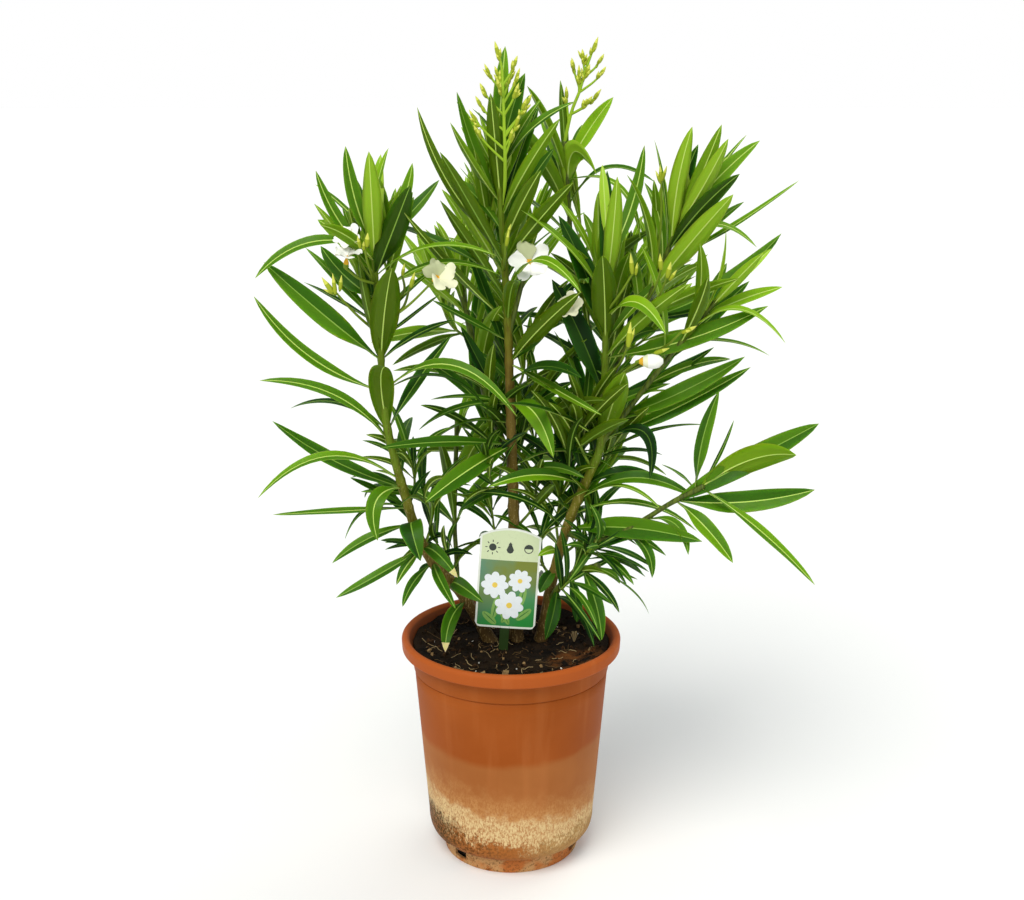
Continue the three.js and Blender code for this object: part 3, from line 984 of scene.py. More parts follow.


# The leaves that shape the outline: the height of the node, the place of the tip, the width, the
# bow, how far the blade turns to the front, its tone, which also paints the light or shade it
# stands in, and whether its tip is dry.
ASKED = {
    "stem_left": (
        (285, (-70, -50, 249), 16, 10, 0.9, 1.6, True),
        (306, (-29, -55, 307), 17, 12, 0.9, 1.8),
        (330, (-117, -20, 289), 12, 6, 0.5, 2.2),
        (330, (-42, 20, 334), 9, 8, 0.4, 0.8),
        (330, (-102, 10, 312), 8, 3, 0.4, 1.2),
        (349, (-187, -30, 303), 12, -1, 0.5, 2.4),
        (349, (-56, -50, 333), 15, 14, 0.9, 2, True),
        (349, (-123, -20, 314), 11, 4, 0.6, 2.8),
        (349, (-143, 20, 351), 9, 3, 0.3, 1),
        (349, (-64, 20, 341), 9, 14, 0.4, 0.8),
        (378, (-190, -30, 342), 12, 8, 0.4, 2.6),
        (378, (-94, -60, 355), 25, 22, 1, 2),
        (398, (-249, -40, 399), 12, 0, 0.12, 3),
        (398, (-177, -20, 365), 6, 20, 0.2, 1.4),
        (398, (-173, 10, 425), 8, 2, 0.3, 1.2),
        (398, (-86, 10, 433), 9, 4, 0.3, 1.2),
        (420, (-252, 0, 490), 17, -9, 0.6, 2.4),
        (420, (-139, -50, 374), 18, 26, 0.9, 2.8),
        (420, (-175, 30, 419), 10, 8, 0.3, 1.2),
        (428, (-262, -50, 420), 13, 36, 0.4, 3.4),
        (470, (-258, -30, 540), 14, 21, 0.6, 3),
        (484, (-124, -85, 566), 27, 20, 1, 2.6),
        (484, (-61, -10, 584), 16, 3, 0.6, 1.6),
        (526, (-260, -30, 627), 14, -16, 0.6, 3.2),
        (526, (6, -80, 514), 13, 41, 0.6, 3.3),
        (526, (-20, -30, 503), 8, 30, 0.2, 1.2),
        (560, (-117, -62, 660), 30, 6, 1, 2.5),
        (560, (-153, -30, 663), 13, -2, 0.4, 1.2),
        (560, (-250, -20, 660), 23, -2, 0.9, 2.4),
        (560, (-58, 10, 596), 10, 6, 0.3, 1.6),
        (580, (-74, 10, 623), 7, 0, 0.2, 1.4),
        (580, (-150, 0, 668), 12, 0, 0.4, 0.8),
        (594, (-213, 20, 670), 11, 2, 0.5, 2.6),
        (594, (-218, 30, 633), 8, 2, 0.2, 1.6),
        (645, (-14, -50, 670), 10, 20, 0.3, 4),
        (622, (-11, -40, 650), 12, 24, 0.4, 3.2),
        (622, (-196, 10, 673), 18, -6, 0.9, 2.4),
        (645, (-201, 30, 698), 18, 6, 0.9, 3.6),
        (645, (-99, -40, 738), 26, 0, 0.9, 0.4),
        (660, (-197, 0, 750), 13, -9, 0.7, 3),
        (660, (-139, -40, 771), 20, -4, 0.9, 4.6),
        (660, (-183, -84, 704), 13, 6, 0.8, 3.4),
        (672, (-164, -20, 775), 15, -5, 0.9, 3),
        (672, (-73, 10, 740), 14, -2, 0.7, 2.6),
        (672, (-258, -30, 645), 14, 22, 0.5, 3.6),
        (682, (-100, 10, 757), 15, -10, 0.9, 4),
        (682, (-202, 30, 734), 7, 4, 0.2, 3),
        (682, (-166, 10, 752), 15, 0, 0.9, 2.8),
    ),
    "bough_back_left": (
        (572, (-130, 70, 536), 12, 5, 0.6, 1.6),
        (572, (-23, 60, 465), 16, 6, 0.8, 0.8),
    ),
    "stem_centre": (
        (416, (77, -30, 436), 13, 16, 0.5, 2.2),
        (416, (-56, -10, 393), 12, 4, 0.4, 1),
        (460, (-135, -40, 471), 14, 5, 0.5, 2),
        (460, (-87, -75, 423), 22, 4, 0.9, 2.8),
        (486, (-87, 20, 459), 9, 14, 0.3, 2),
        (486, (-53, 10, 590), 16, 0, 0.6, 0.8),
        (486, (60, 20, 546), 13, 3, 0.7, 1.6),
        (486, (66, 20, 528), 15, 4, 0.6, 1.4),
        (505, (43, -70, 469), 21, 22, 0.9, 3),
        (505, (-98, 0, 480), 11, 12, 0.4, 2.4),
        (505, (-85, 10, 511), 8, 6, 0.4, 2.2),
        (552, (91, -70, 513), 11, 0, 0.4, 3.4),
        (552, (70, -30, 631), 19, 3, 0.8, 2),
        (552, (48, 20, 597), 15, 0, 0.7, 1.8),
        (552, (-50, 30, 682), 13, 2, 0.6, 1.2),
        (574, (-81, -10, 620), 10, 0, 0.4, 2.2),
        (596, (-106, -40, 712), 12, -4, 0.5, 2.8),
        (618, (-71, -20, 722), 14, 0, 0.7, 1.6),
        (618, (66, -130, 645), 13, 36, 0.3, 4),
        (656, (-69, -50, 771), 15, 0, 0.7, 1.6),
        (656, (61, -50, 742), 17, 2, 0.8, 2.4),
        (672, (-91, -40, 813), 13, -14, 0.6, 2.4),
        (672, (29, -60, 754), 17, 3, 0.9, 2.8),
        (688, (44, 10, 772), 14, 3, 0.8, 2.2),
        (704, (48, -30, 802), 14, 3, 0.8, 3.4),
        (704, (28, 30, 812), 15, 3, 0.8, 1.6),
        (718, (-20, -28, 826), 17, 3, 1, 1.8),
        (718, (-60, -20, 798), 11, -3, 0.5, 3),
        (718, (-54, 0, 827), 15, -5, 0.7, 2.6),
        (742, (14, 10, 845), 20, 4, 0.9, 2.6),
        (742, (30, 20, 819), 12, 4, 0.6, 3.2),
        (742, (65, -10, 818), 12, 12, 0.4, 3),
        (754, (-39, 0, 811), 6, 8, 0.2, 2),
    ),
    "stem_right": (
        (320, (31, -10, 301), 14, 4, 0.5, 1),
        (346, (28, -62, 361), 10, 4, 0.6, 5),
        (370, (193, -95, 388), 23, 8, 0.9, 2),
        (370, (168, 0, 340), 12, 14, 0.5, 1.8),
        (388, (198, -20, 374), 10, 24, 0.3, 3),
        (388, (107, 0, 451), 11, 2, 0.6, 2.6),
        (405, (192, -40, 417), 15, 24, 0.5, 2.6),
        (405, (158, -50, 405), 8, 22, 0.3, 4),
        (405, (45, 20, 497), 15, 0, 0.6, 0.8),
        (422, (58, 10, 527), 17, 0, 0.7, 0.6),
        (422, (165, 0, 418), 15, 16, 0.5, 0.6),
        (422, (-24, -50, 432), 15, 14, 0.5, 3),
        (450, (205, 0, 486), 7, 12, 0.2, 2.4),
        (450, (60, 20, 575), 19, 0, 0.8, 0.8),
        (450, (161, 0, 453), 8, 8, 0.3, 1.2),
        (472, (144, -40, 437), 15, 38, 0.5, 0.6),
        (472, (247, -20, 552), 17, -4, 0.8, 2.8),
        (472, (113, -75, 558), 25, 5, 1, 3),
        (494, (239, -30, 565), 20, -6, 0.7, 2.6),
        (516, (210, -10, 571), 15, -6, 0.6, 1.8),
        (516, (42, 0, 640), 24, 4, 0.9, 0.6),
        (562, (255, -60, 622), 22, -8, 0.8, 3),
        (562, (171, -90, 648), 16, 4, 0.8, 3.2),
        (576, (89, -70, 673), 26, 6, 1, 2.6),
        (576, (48, -10, 706), 22, 6, 0.9, 1.2),
        (600, (152, -80, 597), 15, 26, 0.6, 4.2),
        (634, (103, -60, 748), 17, -3, 0.9, 4.8),
        (634, (97, 0, 750), 15, 2, 0.7, 0.8),
        (660, (134, 0, 775), 14, -10, 0.7, 3),
    ),
    "bough_second_head": (
        (711, (149, 30, 736), 10, 27, 0.3, 1.6),
        (726, (76, 100, 792), 14, 3, 0.7, 3),
        (726, (88, 20, 744), 25, 34, 0.8, 4.8),
        (736, (133, 10, 679), 9, 30, 0.3, 4.2),
        (747, (51, 60, 838), 9, 2, 0.4, 1.2),
        (747, (106, 60, 821), 17, 3, 0.8, 4.8),
    ),
    "bough_right_upper": (
        (600, (224, -70, 651), 14, 4, 0.6, 3),
        (600, (272, -20, 689), 19, -14, 0.7, 2.4),
        (600, (241, 0, 622), 14, -4, 0.5, 2),
        (630, (216, -60, 731), 22, 2, 1, 5),
        (655, (291, 0, 740), 9, -4, 0.3, 3.4),
        (655, (238, 10, 718), 12, 2, 0.5, 2.4),
        (670, (248, -20, 675), 12, 26, 0.4, 4.2),
        (670, (223, -50, 750), 17, 6, 0.8, 0.8),
        (670, (146, 20, 779), 6, 4, 0.2, 2.8),
        (681, (179, -20, 794), 18, -5, 0.9, 5.2),
        (681, (188, 0, 776), 17, -5, 0.8, 1.8),
        (681, (208, -20, 796), 17, -4, 0.9, 3.8),
        (691, (212, -40, 783), 17, -4, 0.8, 4.6),
        (691, (248, -10, 780), 18, 5, 0.8, 4.2),
        (681, (230, 10, 764), 20, 0, 0.8, 1.6),
        (691, (172, 10, 776), 12, 3, 0.8, 2.2),
        (691, (241, 30, 784), 6, 4, 0.3, 3),
    ),
    "bough_right_outer": (
        (560, (242, -20, 641), 15, 2, 0.6, 1.6),
        (580, (270, -80, 588), 12, 34, 0.4, 4.8),
        (580, (266, -20, 564), 7, 9, 0.3, 3.6),
    ),
    "bough_side_shoot": (
        (380, (146, -70, 340), 12, 12, 0.6, 2.2),
        (398, (180, -90, 372), 12, 16, 0.5, 2.6),
        (421, (307, -80, 438), 23, -8, 0.8, 2.8),
        (421, (224, -100, 367), 18, 4, 0.8, 3.8),
        (433, (208, -70, 538), 16, -5, 0.8, 2.2),
        (433, (158, -20, 448), 6, 3, 0.3, 1.6),
        (421, (318, -32, 495), 24, 20, 0.9, 2.4),
        (437, (279, -116, 484), 27, 18, 0.9, 3),
        (437, (304, -118, 350), 12, 6, 0.5, 3.8),
        (437, (232, -20, 496), 5, 3, 0.3, 1.6),
    ),
    "bough_low_right": (
        (300, (37, -30, 255), 15, 6, 0.6, 1),
        (322, (71, -20, 271), 13, 4, 0.6, 1),
        (322, (100, -75, 345), 12, 6, 0.5, 1.8),
        (334, (95, -70, 271), 15, 6, 0.8, 1.8),
        (334, (116, -30, 286), 9, 6, 0.4, 1.6),
        (340, (116, -30, 319), 7, 8, 0.3, 2.4),
        (340, (149, -20, 280), 2.5, 14, 0.2, 1.4),
    ),
}
# The side twigs: height, the way round the limb, length and, where they aren't the usual ones, the
# scale, tone and age of the leaves. The lower tones of the small twigs deep in the crown are painted
# shade.
TWIGS = {
    "stem_left": (
        (594, 120, 60), (622, 60, 50), (306, 60, 45, 0.5, -1.2, 120), (349, 40, 55, 0.55, -1.2, 120),
        (398, 60, 50, 0.55, -1.2, 100),
    ),
    "bough_back_left": (
        (560, 130, 80),
    ),
    "stem_centre": (
        (640, 120, 60), (680, 100, 60), (505, 60, 70, 0.9, -1.4, 40), (335, 150, 55, 0.5, -1.4, 120),
        (365, 30, 60, 0.6, -1.4, 120), (400, 190, 55, 0.5, -1.4, 120), (416, 80, 60, 0.75, -1.6, 80),
        (460, 20, 60, 0.8, -1.6, 60), (436, 140, 60, 0.75, -1.6, 80),
    ),
    "bough_back": (
        (590, 50, 90), (612, 140, 90), (500, 120, 80), (470, 60, 80), (420, 20, 60, 0.8, -1, 60),
        (420, 160, 60, 0.8, -1, 60),
    ),
    "stem_right": (
        (600, 100, 70), (516, 80, 90, 0.9, -0.8, 30), (388, 60, 80, 0.8, -1.2, 60),
        (310, 150, 50, 0.5, -1.4, 120), (335, 30, 55, 0.55, -1.4, 120), (346, 110, 60, 0.6, -1.4, 100),
        (405, 140, 60, 0.75, -1.4, 80), (440, 170, 60, 0.8, -1.4, 60),
    ),
    "bough_second_head": (
        (658, 60, 60),
    ),
    "bough_right_upper": (
        (600, 90, 70),
    ),
    "bough_low_right": (
        (318, 60, 45, 0.5, -1.2, 120), (334, 120, 40, 0.5, -1.2, 120), (308, 250, 40, 0.5, -1.2, 140),
    ),
    "bough_back_right": (
        (512, 60, 90), (538, 20, 90), (425, 120, 70, 0.9, -0.5),
    ),
}
SHOOTS = {
    "leaves_left": [
        Shoot("stem_left", (-139, -20, 700), fill=0.5, front=0,
              nodes=(285, 306, 330, 349, 378, 398, 420, 428, 470, 484, 526, 560, 580, 594, 622, 645, 660,
                     672, 682, 692)),
        Shoot("bough_low_left", (-60, 80, 478), fill=0.5, scale=0.9, tone=-0.5,
              nodes=(360, 395, 425, 448, 462, 474)),
        Shoot("bough_back_left", (-60, 98, 640), fill=0.85, front=0.2, tone=-0.3,
              nodes=(490, 520, 548, 572, 590, 604, 616, 628, 636)),
    ],
    "leaves_centre": [
        Shoot("stem_centre", (-13, 0, 784), front=0,
              nodes=(300, 335, 365, 392, 416, 436, 460, 486, 505, 530, 552, 574, 596, 618, 636, 656, 672,
                     688, 704, 718, 730, 742, 754, 768)),
        Shoot("bough_back", (-8, 136, 700), fill=0.9, front=0.15, tone=-0.2,
              nodes=(360, 405, 440, 475, 510, 540, 566, 590, 612, 632, 650, 666, 680, 690)),
    ],
    "leaves_right": [
        Shoot("stem_right", (95, -32, 696), front=0,
              nodes=(290, 320, 346, 370, 388, 405, 422, 450, 472, 494, 516, 540, 562, 576, 600, 620, 634,
                     648, 660, 672, 684)),
        Shoot("bough_second_head", (56, 60, 776), front=0.2,
              nodes=(580, 610, 636, 658, 678, 696, 711, 726, 736, 747)),
        Shoot("bough_right_upper", (176, -8, 714), front=0,
              nodes=(565, 600, 630, 655, 670, 681, 691, 700, 708)),
        Shoot("bough_right_outer", (214, -46, 636), front=0.2, scale=0.9,
              nodes=(505, 535, 560, 580, 596, 608, 618, 628)),
        Shoot("bough_side_shoot", (196, -67, 438), fill=0.2, front=0,
              nodes=(380, 398, 421, 433, 437)),
        Shoot("bough_low_right", (92, -44, 344), fill=0, front=0,
              nodes=(300, 322, 334, 340)),
        Shoot("bough_back_right", (128, 112, 640), fill=0.9, front=0.15, tone=-0.1,
              nodes=(425, 455, 485, 512, 538, 560, 578, 594, 608, 620, 630)),
    ],
}
MASSES_OF = {
    "leaves_left": ("mass_left_", "mass_back_left", "mass_low_left"),
    "leaves_centre": ("mass_centre_", "mass_back_head", "mass_low_back"),
    "leaves_right": ("mass_right_", "mass_second_head", "mass_side_shoot", "mass_low_right",
                     "mass_back_right"),
}


def grow_plant():
    """Leaves in a piece for each part of the crown, and the limbs and twigs that carry them."""
    materials = leaf_materials()
    wood, twigs = Sheet(), Sheet()
    boughs = []
    for seed, (name, shoots) in enumerate(SHOOTS.items()):
        dice = random.Random(20 + seed)
        leaves = Sheet()
        for shoot in shoots:
            limb = Limb(shoot.limb, shoot.green_tip)
            turn = dice.uniform(0, 360)
            for height in shoot.nodes:
                grow_whorl(leaves, dice, limb, shoot, height, turn)
                turn += NEXT_WHORL + dice.uniform(-8, 8)
            for twig in shoot.twigs:
                grow_twig(leaves, twigs, dice, limb, shoot, twig)
            if shoot.limb.startswith("stem_"):
                make_stem(limb, shoot)
            else:
                add_bough(wood, limb, shoot)
                boughs.append(shoot.limb)
        masses = [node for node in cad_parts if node.startswith(MASSES_OF[name])]
        leaves.piece(name, materials, "leaf", masses)
    add_bough(wood, Limb("bough_cut_stub"), None)
    green_bark = green_bark_material("green_bark", (52, 66, 14), (92, 108, 24))
    wood.piece("boughs", [green_bark], "bark", [*boughs, "bough_cut_stub"])
    twigs.piece("twigs", [green_bark_material("twig", (78, 104, 18), (124, 152, 38))], "bark")


KNOT_SWELL = 0.13  # as a share of the radius
KNOT_HALF = 3.5  # how far a knot's swelling reaches, up and down
FLARE_OUT = 3.2
FLARE_UP = 13
STEM_SIDES = 22
BOUGH_SIDES = 14
BOUGH_USUAL = 0.8  # how thick a bough is beside its frame's
BOUGH_THICKNESS = {"bough_low_right": 0.5, "bough_side_shoot": 0.7}


def knots(limb, shoot):
    """The radii of a limb, swollen a little at each node."""
    radii = limb.radii.copy()
    for height in shoot.nodes if shoot else ():
        radii *= 1 + KNOT_SWELL * np.exp(-(((limb.line[:, 2] - height) / KNOT_HALF) ** 2))
    return radii


def make_stem(limb, shoot):
    """A stem of bark with relief, flared at its foot."""
    sheet = Sheet()
    radii = knots(limb, shoot)
    foot = limb.line[:, 2] - limb.line[0][2]
    radii = radii + FLARE_OUT * np.exp(-foot / FLARE_UP)
    tube(sheet, limb.line, radii, STEM_SIDES, 0, bark_relief)
    sheet.piece(limb.node + "_bark", [bark_material(limb.node)], "bark", [limb.node])


def add_bough(sheet, limb, shoot):
    thickness = BOUGH_THICKNESS.get(limb.node, BOUGH_USUAL)
    tube(sheet, limb.line, knots(limb, shoot) * thickness, BOUGH_SIDES, 0)


# ---------------------------------------------------------------------------------------------
# Flowers
# ---------------------------------------------------------------------------------------------

STALK, BUD, BUD_TIP, PETAL, PETAL_CREAM, PETAL_PAINTED_SHADE, THROAT, CALYX = range(8)
PETALS = 5
PETAL_STEPS = 10
PETAL_COLUMNS = 9


def blossom_materials():
    return [
        plain_material("stalk", (148, 182, 40), 0.5, 0.2),
        plain_material("bud", (158, 172, 38), 0.5, 0.2),
        plain_material("bud_tip", (210, 214, 90), 0.5, 0.2),
        plain_material("petal", (246, 246, 238), 0.55, 0.2, grain=120),
        plain_material("petal_cream", (228, 228, 192), 0.55, 0.2, grain=120),
        # A darker cream-green for petals that stand in shade: painted shade.
        plain_material("petal_painted_shade", (184, 190, 146), 0.55, 0.2, grain=120),
        plain_material("throat", (218, 168, 40), 0.55, 0.2),
        plain_material("calyx", (112, 136, 30), 0.5, 0.2),
    ]


BUD_SHAPE = ((0, 0.3), (0.1, 0.7), (0.25, 0.95), (0.42, 1), (0.6, 0.85), (0.8, 0.5), (1, 0.08))
CUP_SHAPE = ((0, 0.12), (0.14, 0.3), (0.28, 0.62), (0.45, 0.95), (0.65, 1), (0.85, 0.8), (1, 0.3))


BUD_COLOURS = (CALYX, BUD, BUD, BUD, BUD_TIP)
OPENING_COLOURS = (CALYX, THROAT, PETAL_CREAM, PETAL, PETAL, PETAL)


def add_bud(sheet, base, way, length, wide, colours=BUD_COLOURS, shape=BUD_SHAPE):
    """A spindle with low twisted ridges, and its colours from the stalk to the tip."""
    way = unit(vec(way))
    line = np.array([vec(base) + way * length * share for share, _ in shape])
    _, aside, up = frames(line)
    turn = np.linspace(0, 2 * math.pi, 10, endpoint=False)
    rings = []
    for point, (share, size), first, second in zip(line, shape, aside, up):
        reach = wide / 2 * size * (1 + 0.1 * np.cos(5 * turn + 3 * share))
        ways = np.outer(np.cos(turn), first) + np.outer(np.sin(turn), second)
        rings.append(point + reach[:, None] * ways)
    slots = [[colours[min(row, len(colours) - 1)]] * len(turn) for row in range(len(shape) - 1)]
    sheet.grid(rings, slots, closed=True)


SPIKE_RADII = (2.1, 1.3)  # of a spike's stalk, at its foot and its tip
SPIKE_START = 8  # steps over which it thickens from nearly nothing
SPRIG_RISE = 14  # a side stalk climbs this much, and more the further its tip is off the stalk
SPRIG_STEEP = 0.7
SPRIG_RADII = (1.4, 1.0)
# The buds at a spike's tip: how far their feet are back, their lean, length and width.
TOP_BUDS = ((2, (3, -1, 0), 10, 3.6), (3, (-3, -2, 0), 9, 3.4))


def add_spike(sheet, dice, stalk, sprigs):
    """An upright stalk with side stalks that each end in a few buds."""
    line = spline(stalk, 3)
    radii = np.linspace(*SPIKE_RADII, len(line))
    radii[:SPIKE_START] = np.linspace(0.5, radii[SPIKE_START], SPIKE_START)
    tube(sheet, line, radii, 9, STALK)
    add_bud(sheet, line[-1] - (0, 0, 2), line[-1] - line[-4], 16, 4.6)
    for back, lean, length, wide in TOP_BUDS:
        add_bud(sheet, line[-back], line[-1] - line[-4] + lean, length, wide)
    for tip in sprigs:
        tip = vec(tip)
        height = tip[2] - SPRIG_RISE - abs(tip[0] - line[-1][0]) * SPRIG_STEEP
        foot = line[np.abs(line[:, 2] - height).argmin()]
        bend = foot + (tip - foot) * 0.5 + np.array([0, 0, -1.5])
        side = spline([foot, bend, tip - unit(tip - foot) * 9], 3)
        tube(sheet, side, np.linspace(*SPRIG_RADII, len(side)), 7, STALK)
        end = side[-1]
        way = unit(unit(tip - foot) + (0, 0, 0.5))
        add_bud(sheet, end - way, way, dice.uniform(11, 14), dice.uniform(3.6, 4.4))
        for _ in range(dice.randint(3, 4)):
            lean = way + np.array([dice.uniform(-0.5, 0.5) for _ in range(3)])
            add_bud(sheet, end - way * dice.uniform(1, 9), lean, dice.uniform(7, 12),
                    dice.uniform(2.8, 4))


PETAL_BROAD = 0.62  # where a petal is widest, as a share of its length
PETAL_THICK = 0.3


def add_petal(sheet, dice, centre, ahead, outward, aside, long, wide, cup, slot):
    """A petal that widens towards a blunt, skewed and crumpled end, and bends back over its cup."""
    share = np.linspace(0, 1, PETAL_STEPS)
    across = np.linspace(-1, 1, PETAL_COLUMNS)
    waves = dice.uniform(1.2, 2.2)
    phase = dice.uniform(0, 6.28)
    rows = []
    for step in share:
        blunt = math.sqrt(max(0.06, 1 - max(0, step - PETAL_BROAD) ** 2 * 5.6))
        half = wide / 2 * (0.2 + 0.8 * smooth(step / PETAL_BROAD)) * blunt
        rise = cup * math.sin(step * 1.9) * long * 0.5
        middle = centre + outward * long * step + ahead * rise + aside * step**2 * wide * 0.12
        row = []
        for place in across:
            crumple = 0.08 * wide * step * math.sin(waves * 3 * place + phase)
            crumple *= math.cos(4 * step + phase)
            back = long * step**3 * (0.07 * place - 0.05 * place**2)
            row.append(middle + aside * half * place + outward * back
                       + ahead * (half * 0.2 * place**2 + crumple))
        rows.append(row)
    backs = [[point - ahead * PETAL_THICK for point in reversed(row)] for row in rows]
    # A petal with painted shade keeps the darker colour on its back as well.
    back_slot = PETAL_PAINTED_SHADE if slot == PETAL_PAINTED_SHADE else PETAL_CREAM
    for side, colour in ((rows, slot), (backs, back_slot)):
        slots = np.full((PETAL_STEPS - 1, PETAL_COLUMNS - 1), colour)
        slots[0] = THROAT
        sheet.grid(side, slots)


def add_flower(sheet, dice, flower):
    """A pinwheel of overlapping petals on a yellow throat, with a stalk to its foot on a twig."""
    centre, ahead = vec(flower.centre), unit(vec(flower.facing))
    first, second = round_ways(ahead) if abs(ahead[0]) < 0.9 else (vec((0, 1, 0)), vec((0, 0, 1)))
    for number in range(PETALS):
        angle = math.radians(flower.turn + number * 360 / PETALS + dice.uniform(-5, 5))
        outward = math.cos(angle) * first + math.sin(angle) * second
        aside = math.cos(angle) * second - math.sin(angle) * first
        tilted = unit(ahead + aside * 0.22)
        slot = PETAL_PAINTED_SHADE if number in flower.painted_shade_petals else flower.slot
        add_petal(sheet, dice, centre + ahead * 0.5 * (number % 2), tilted, outward, aside,
                  flower.radius * dice.uniform(0.9, 1.08), flower.radius * flower.plump,
                  flower.cup * dice.uniform(0.7, 1.4), slot)
    throat = centre - ahead * 12
    add_bud(sheet, throat, ahead, 13, 5.5, (CALYX, CALYX, CALYX, THROAT, THROAT))
    for number in range(PETALS):
        angle = math.radians(number * 360 / PETALS)
        lean = 0.7 * ahead + 0.5 * (math.cos(angle) * first + math.sin(angle) * second)
        add_bud(sheet, throat - ahead * 1, lean, 6, 1.8, (CALYX,))
    line = spline([vec(flower.foot), (vec(flower.foot) + throat) / 2 - (0, 0, 3), throat], 3)
    tube(sheet, line, np.linspace(1.5, 1.1, len(line)), 7, CALYX)


class Flower:
    """An open flower: where, which way it faces, its radius, its foot and how deep its cup is."""

    def __init__(self, centre, facing, radius, foot, cup, slot=PETAL, turn=0, plump=1.12, painted_shade_petals=()):
        self.centre = centre
        self.facing = facing
        self.radius = radius
        self.foot = foot
        self.cup = cup
        self.slot = slot
        self.turn = turn
        self.plump = plump  # how wide a petal is, as a share of its length
        # The petals listed here are painted darker, as painted shade.
        self.painted_shade_petals = painted_shade_petals  # which petals are darker


FLOWERS = [
    Flower((-162, -34, 686), (-0.25, -0.75, 0.6), 13, (-139, -24, 640), 0.6, turn=20),
    Flower((-163, -46, 668), (0.15, -0.3, 0.95), 13, (-139, -28, 640), 0.9, turn=50),
    Flower((-73, -60, 650), (0.45, -0.75, 0.5), 17, (-128, -24, 600), 1.1, PETAL_CREAM, turn=10,
           painted_shade_petals=(1, 2)),
    Flower((19, -14, 660), (-0.1, -0.9, 0.35), 21, (-6, -4, 628), 0.4, turn=16, plump=0.95,
           painted_shade_petals=(1,)),
    Flower((62, -14, 615), (-0.4, -0.8, 0.3), 13, (30, -10, 600), 0.5, PETAL_CREAM, turn=60),
]
# Lone buds: foot, tip and width.
BUDS = [
    ((-142, -56, 679), (-140, -60, 694), 5.5),
    ((-148, -56, 678), (-150, -62, 691), 4),
    ((-145, -54, 676), (-144, -62, 686), 3.4),
    ((-178, -40, 631), (-189, -42, 648), 5.5),
    ((-176, -40, 629), (-178, -42, 652), 4.6),
    ((-172, -38, 633), (-169, -42, 650), 4.2),
    ((-176, -38, 630), (-188, -42, 636), 3.6),
    ((-101, -38, 636), (-96, -42, 653), 4.8),
    ((-109, -38, 648), (-106, -42, 662), 3.8),
    ((117, -58, 578), (119, -60, 606), 6),
    ((119, -58, 584), (123, -60, 600), 3.6),
    ((142, -58, 573), (158, -62, 580), 4.6),
    ((121, -46, 650), (118, -52, 673), 5),
    ((124, -46, 650), (125, -52, 664), 3.6),
    ((148, -58, 656), (146, -62, 674), 5),
    ((154, -58, 648), (157, -62, 666), 5.4),
    ((156, -58, 646), (163, -62, 658), 4),
    ((171, -66, 596), (183, -72, 604), 4.6),
    ((169, -66, 596), (177, -74, 600), 3.8),
    ((152, 0, 738), (150, 0, 756), 4),
    ((152, 0, 738), (157, -2, 755), 4),
    ((152, 0, 736), (146, 2, 750), 3.6),
    ((-5, -28, 676), (-2, -32, 694), 4),
    ((-4, -28, 686), (0, -32, 700), 3.6),
]
BUD_TWIG_RADII = (1.7, 1.1)
# Twigs that carry the buds.
BUD_TWIGS = [
    ((-138, -22, 640), (-142, -50, 664), (-144, -56, 680)),
    ((-137, -4, 584), (-158, -24, 608), (-177, -40, 634)),
    ((-129, 0, 596), (-111, -6, 612), (-101, -38, 640)),
    ((-127, 0, 606), (-110, -8, 628), (-109, -38, 650)),
    ((97, -20, 540), (110, -44, 560), (117, -58, 582)),
    ((97, -26, 610), (110, -40, 632), (121, -46, 652)),
    ((132, -10, 600), (146, -46, 626), (154, -58, 650)),
    ((134, -10, 610), (142, -46, 634), (148, -58, 658)),
    ((138, -10, 560), (156, -50, 580), (170, -66, 598)),
    ((104, -20, 534), (116, -50, 554), (126, -62, 566)),
    ((118, -50, 556), (130, -56, 566), (143, -58, 574)),
    ((146, -8, 640), (152, -4, 690), (152, 0, 742)),
    ((-8, 0, 650), (-6, -20, 664), (-5, -28, 690)),
]
# A flower about to open: foot, tip and width.
OPENING = ((124, -62, 566), (152, -63, 567), 15)
SPIKES = [
    {
        "node": "mass_blossom_left",
        "stalk": [(-8, -2, 716), (-6, -10, 742), (-6, -17, 772), (-7, -15, 802), (-8, -6, 830),
                  (-9, 0, 849), (-12, 0, 862)],
        "sprigs": [(-27, -10, 851), (-32, 0, 833), (-36, -8, 820), (-42, -8, 806), (7, 0, 859),
                   (8, -18, 832), (16, -20, 818), (9, -20, 803), (2, -20, 790), (1, 10, 846),
                   (-17, 2, 850), (9, 0, 846), (21, -8, 822), (-14, -20, 836), (-38, -10, 792)],
    },
    {
        "node": "mass_blossom_right",
        "stalk": [(53, 60, 760), (62, 60, 803), (71, 60, 827), (76, 60, 845), (84, 60, 868)],
        "sprigs": [(73, 60, 868), (62, 60, 858), (97, 60, 862), (99, 56, 849), (93, 52, 825),
                   (84, 50, 818), (57, 60, 829), (82, 56, 852), (78, 74, 848), (70, 58, 850)],
    },
]


def make_blossom():
    """Bud spikes in a piece each, and the flowers and lone buds in one."""
    dice = random.Random(7)
    materials = blossom_materials()
    for spike in SPIKES:
        sheet = Sheet()
        add_spike(sheet, dice, spike["stalk"], spike["sprigs"])
        sheet.piece(spike["node"].replace("mass_", "spike_"), materials, "blossom", [spike["node"]])
    sheet = Sheet()
    for flower in FLOWERS:
        add_flower(sheet, dice, flower)
    for foot, tip, wide in BUDS:
        way = vec(tip) - vec(foot)
        add_bud(sheet, foot, way, np.linalg.norm(way), wide)
    foot, tip, wide = OPENING
    way = vec(tip) - vec(foot)
    add_bud(sheet, foot, way, np.linalg.norm(way), wide, OPENING_COLOURS, CUP_SHAPE)
    for points in BUD_TWIGS:
        line = spline(points, 3)
        tube(sheet, line, np.linspace(*BUD_TWIG_RADII, len(line)), 7, CALYX)
    sheet.piece("flowers", materials, "blossom")


# ---------------------------------------------------------------------------------------------
# Pot, soil and label
# ---------------------------------------------------------------------------------------------

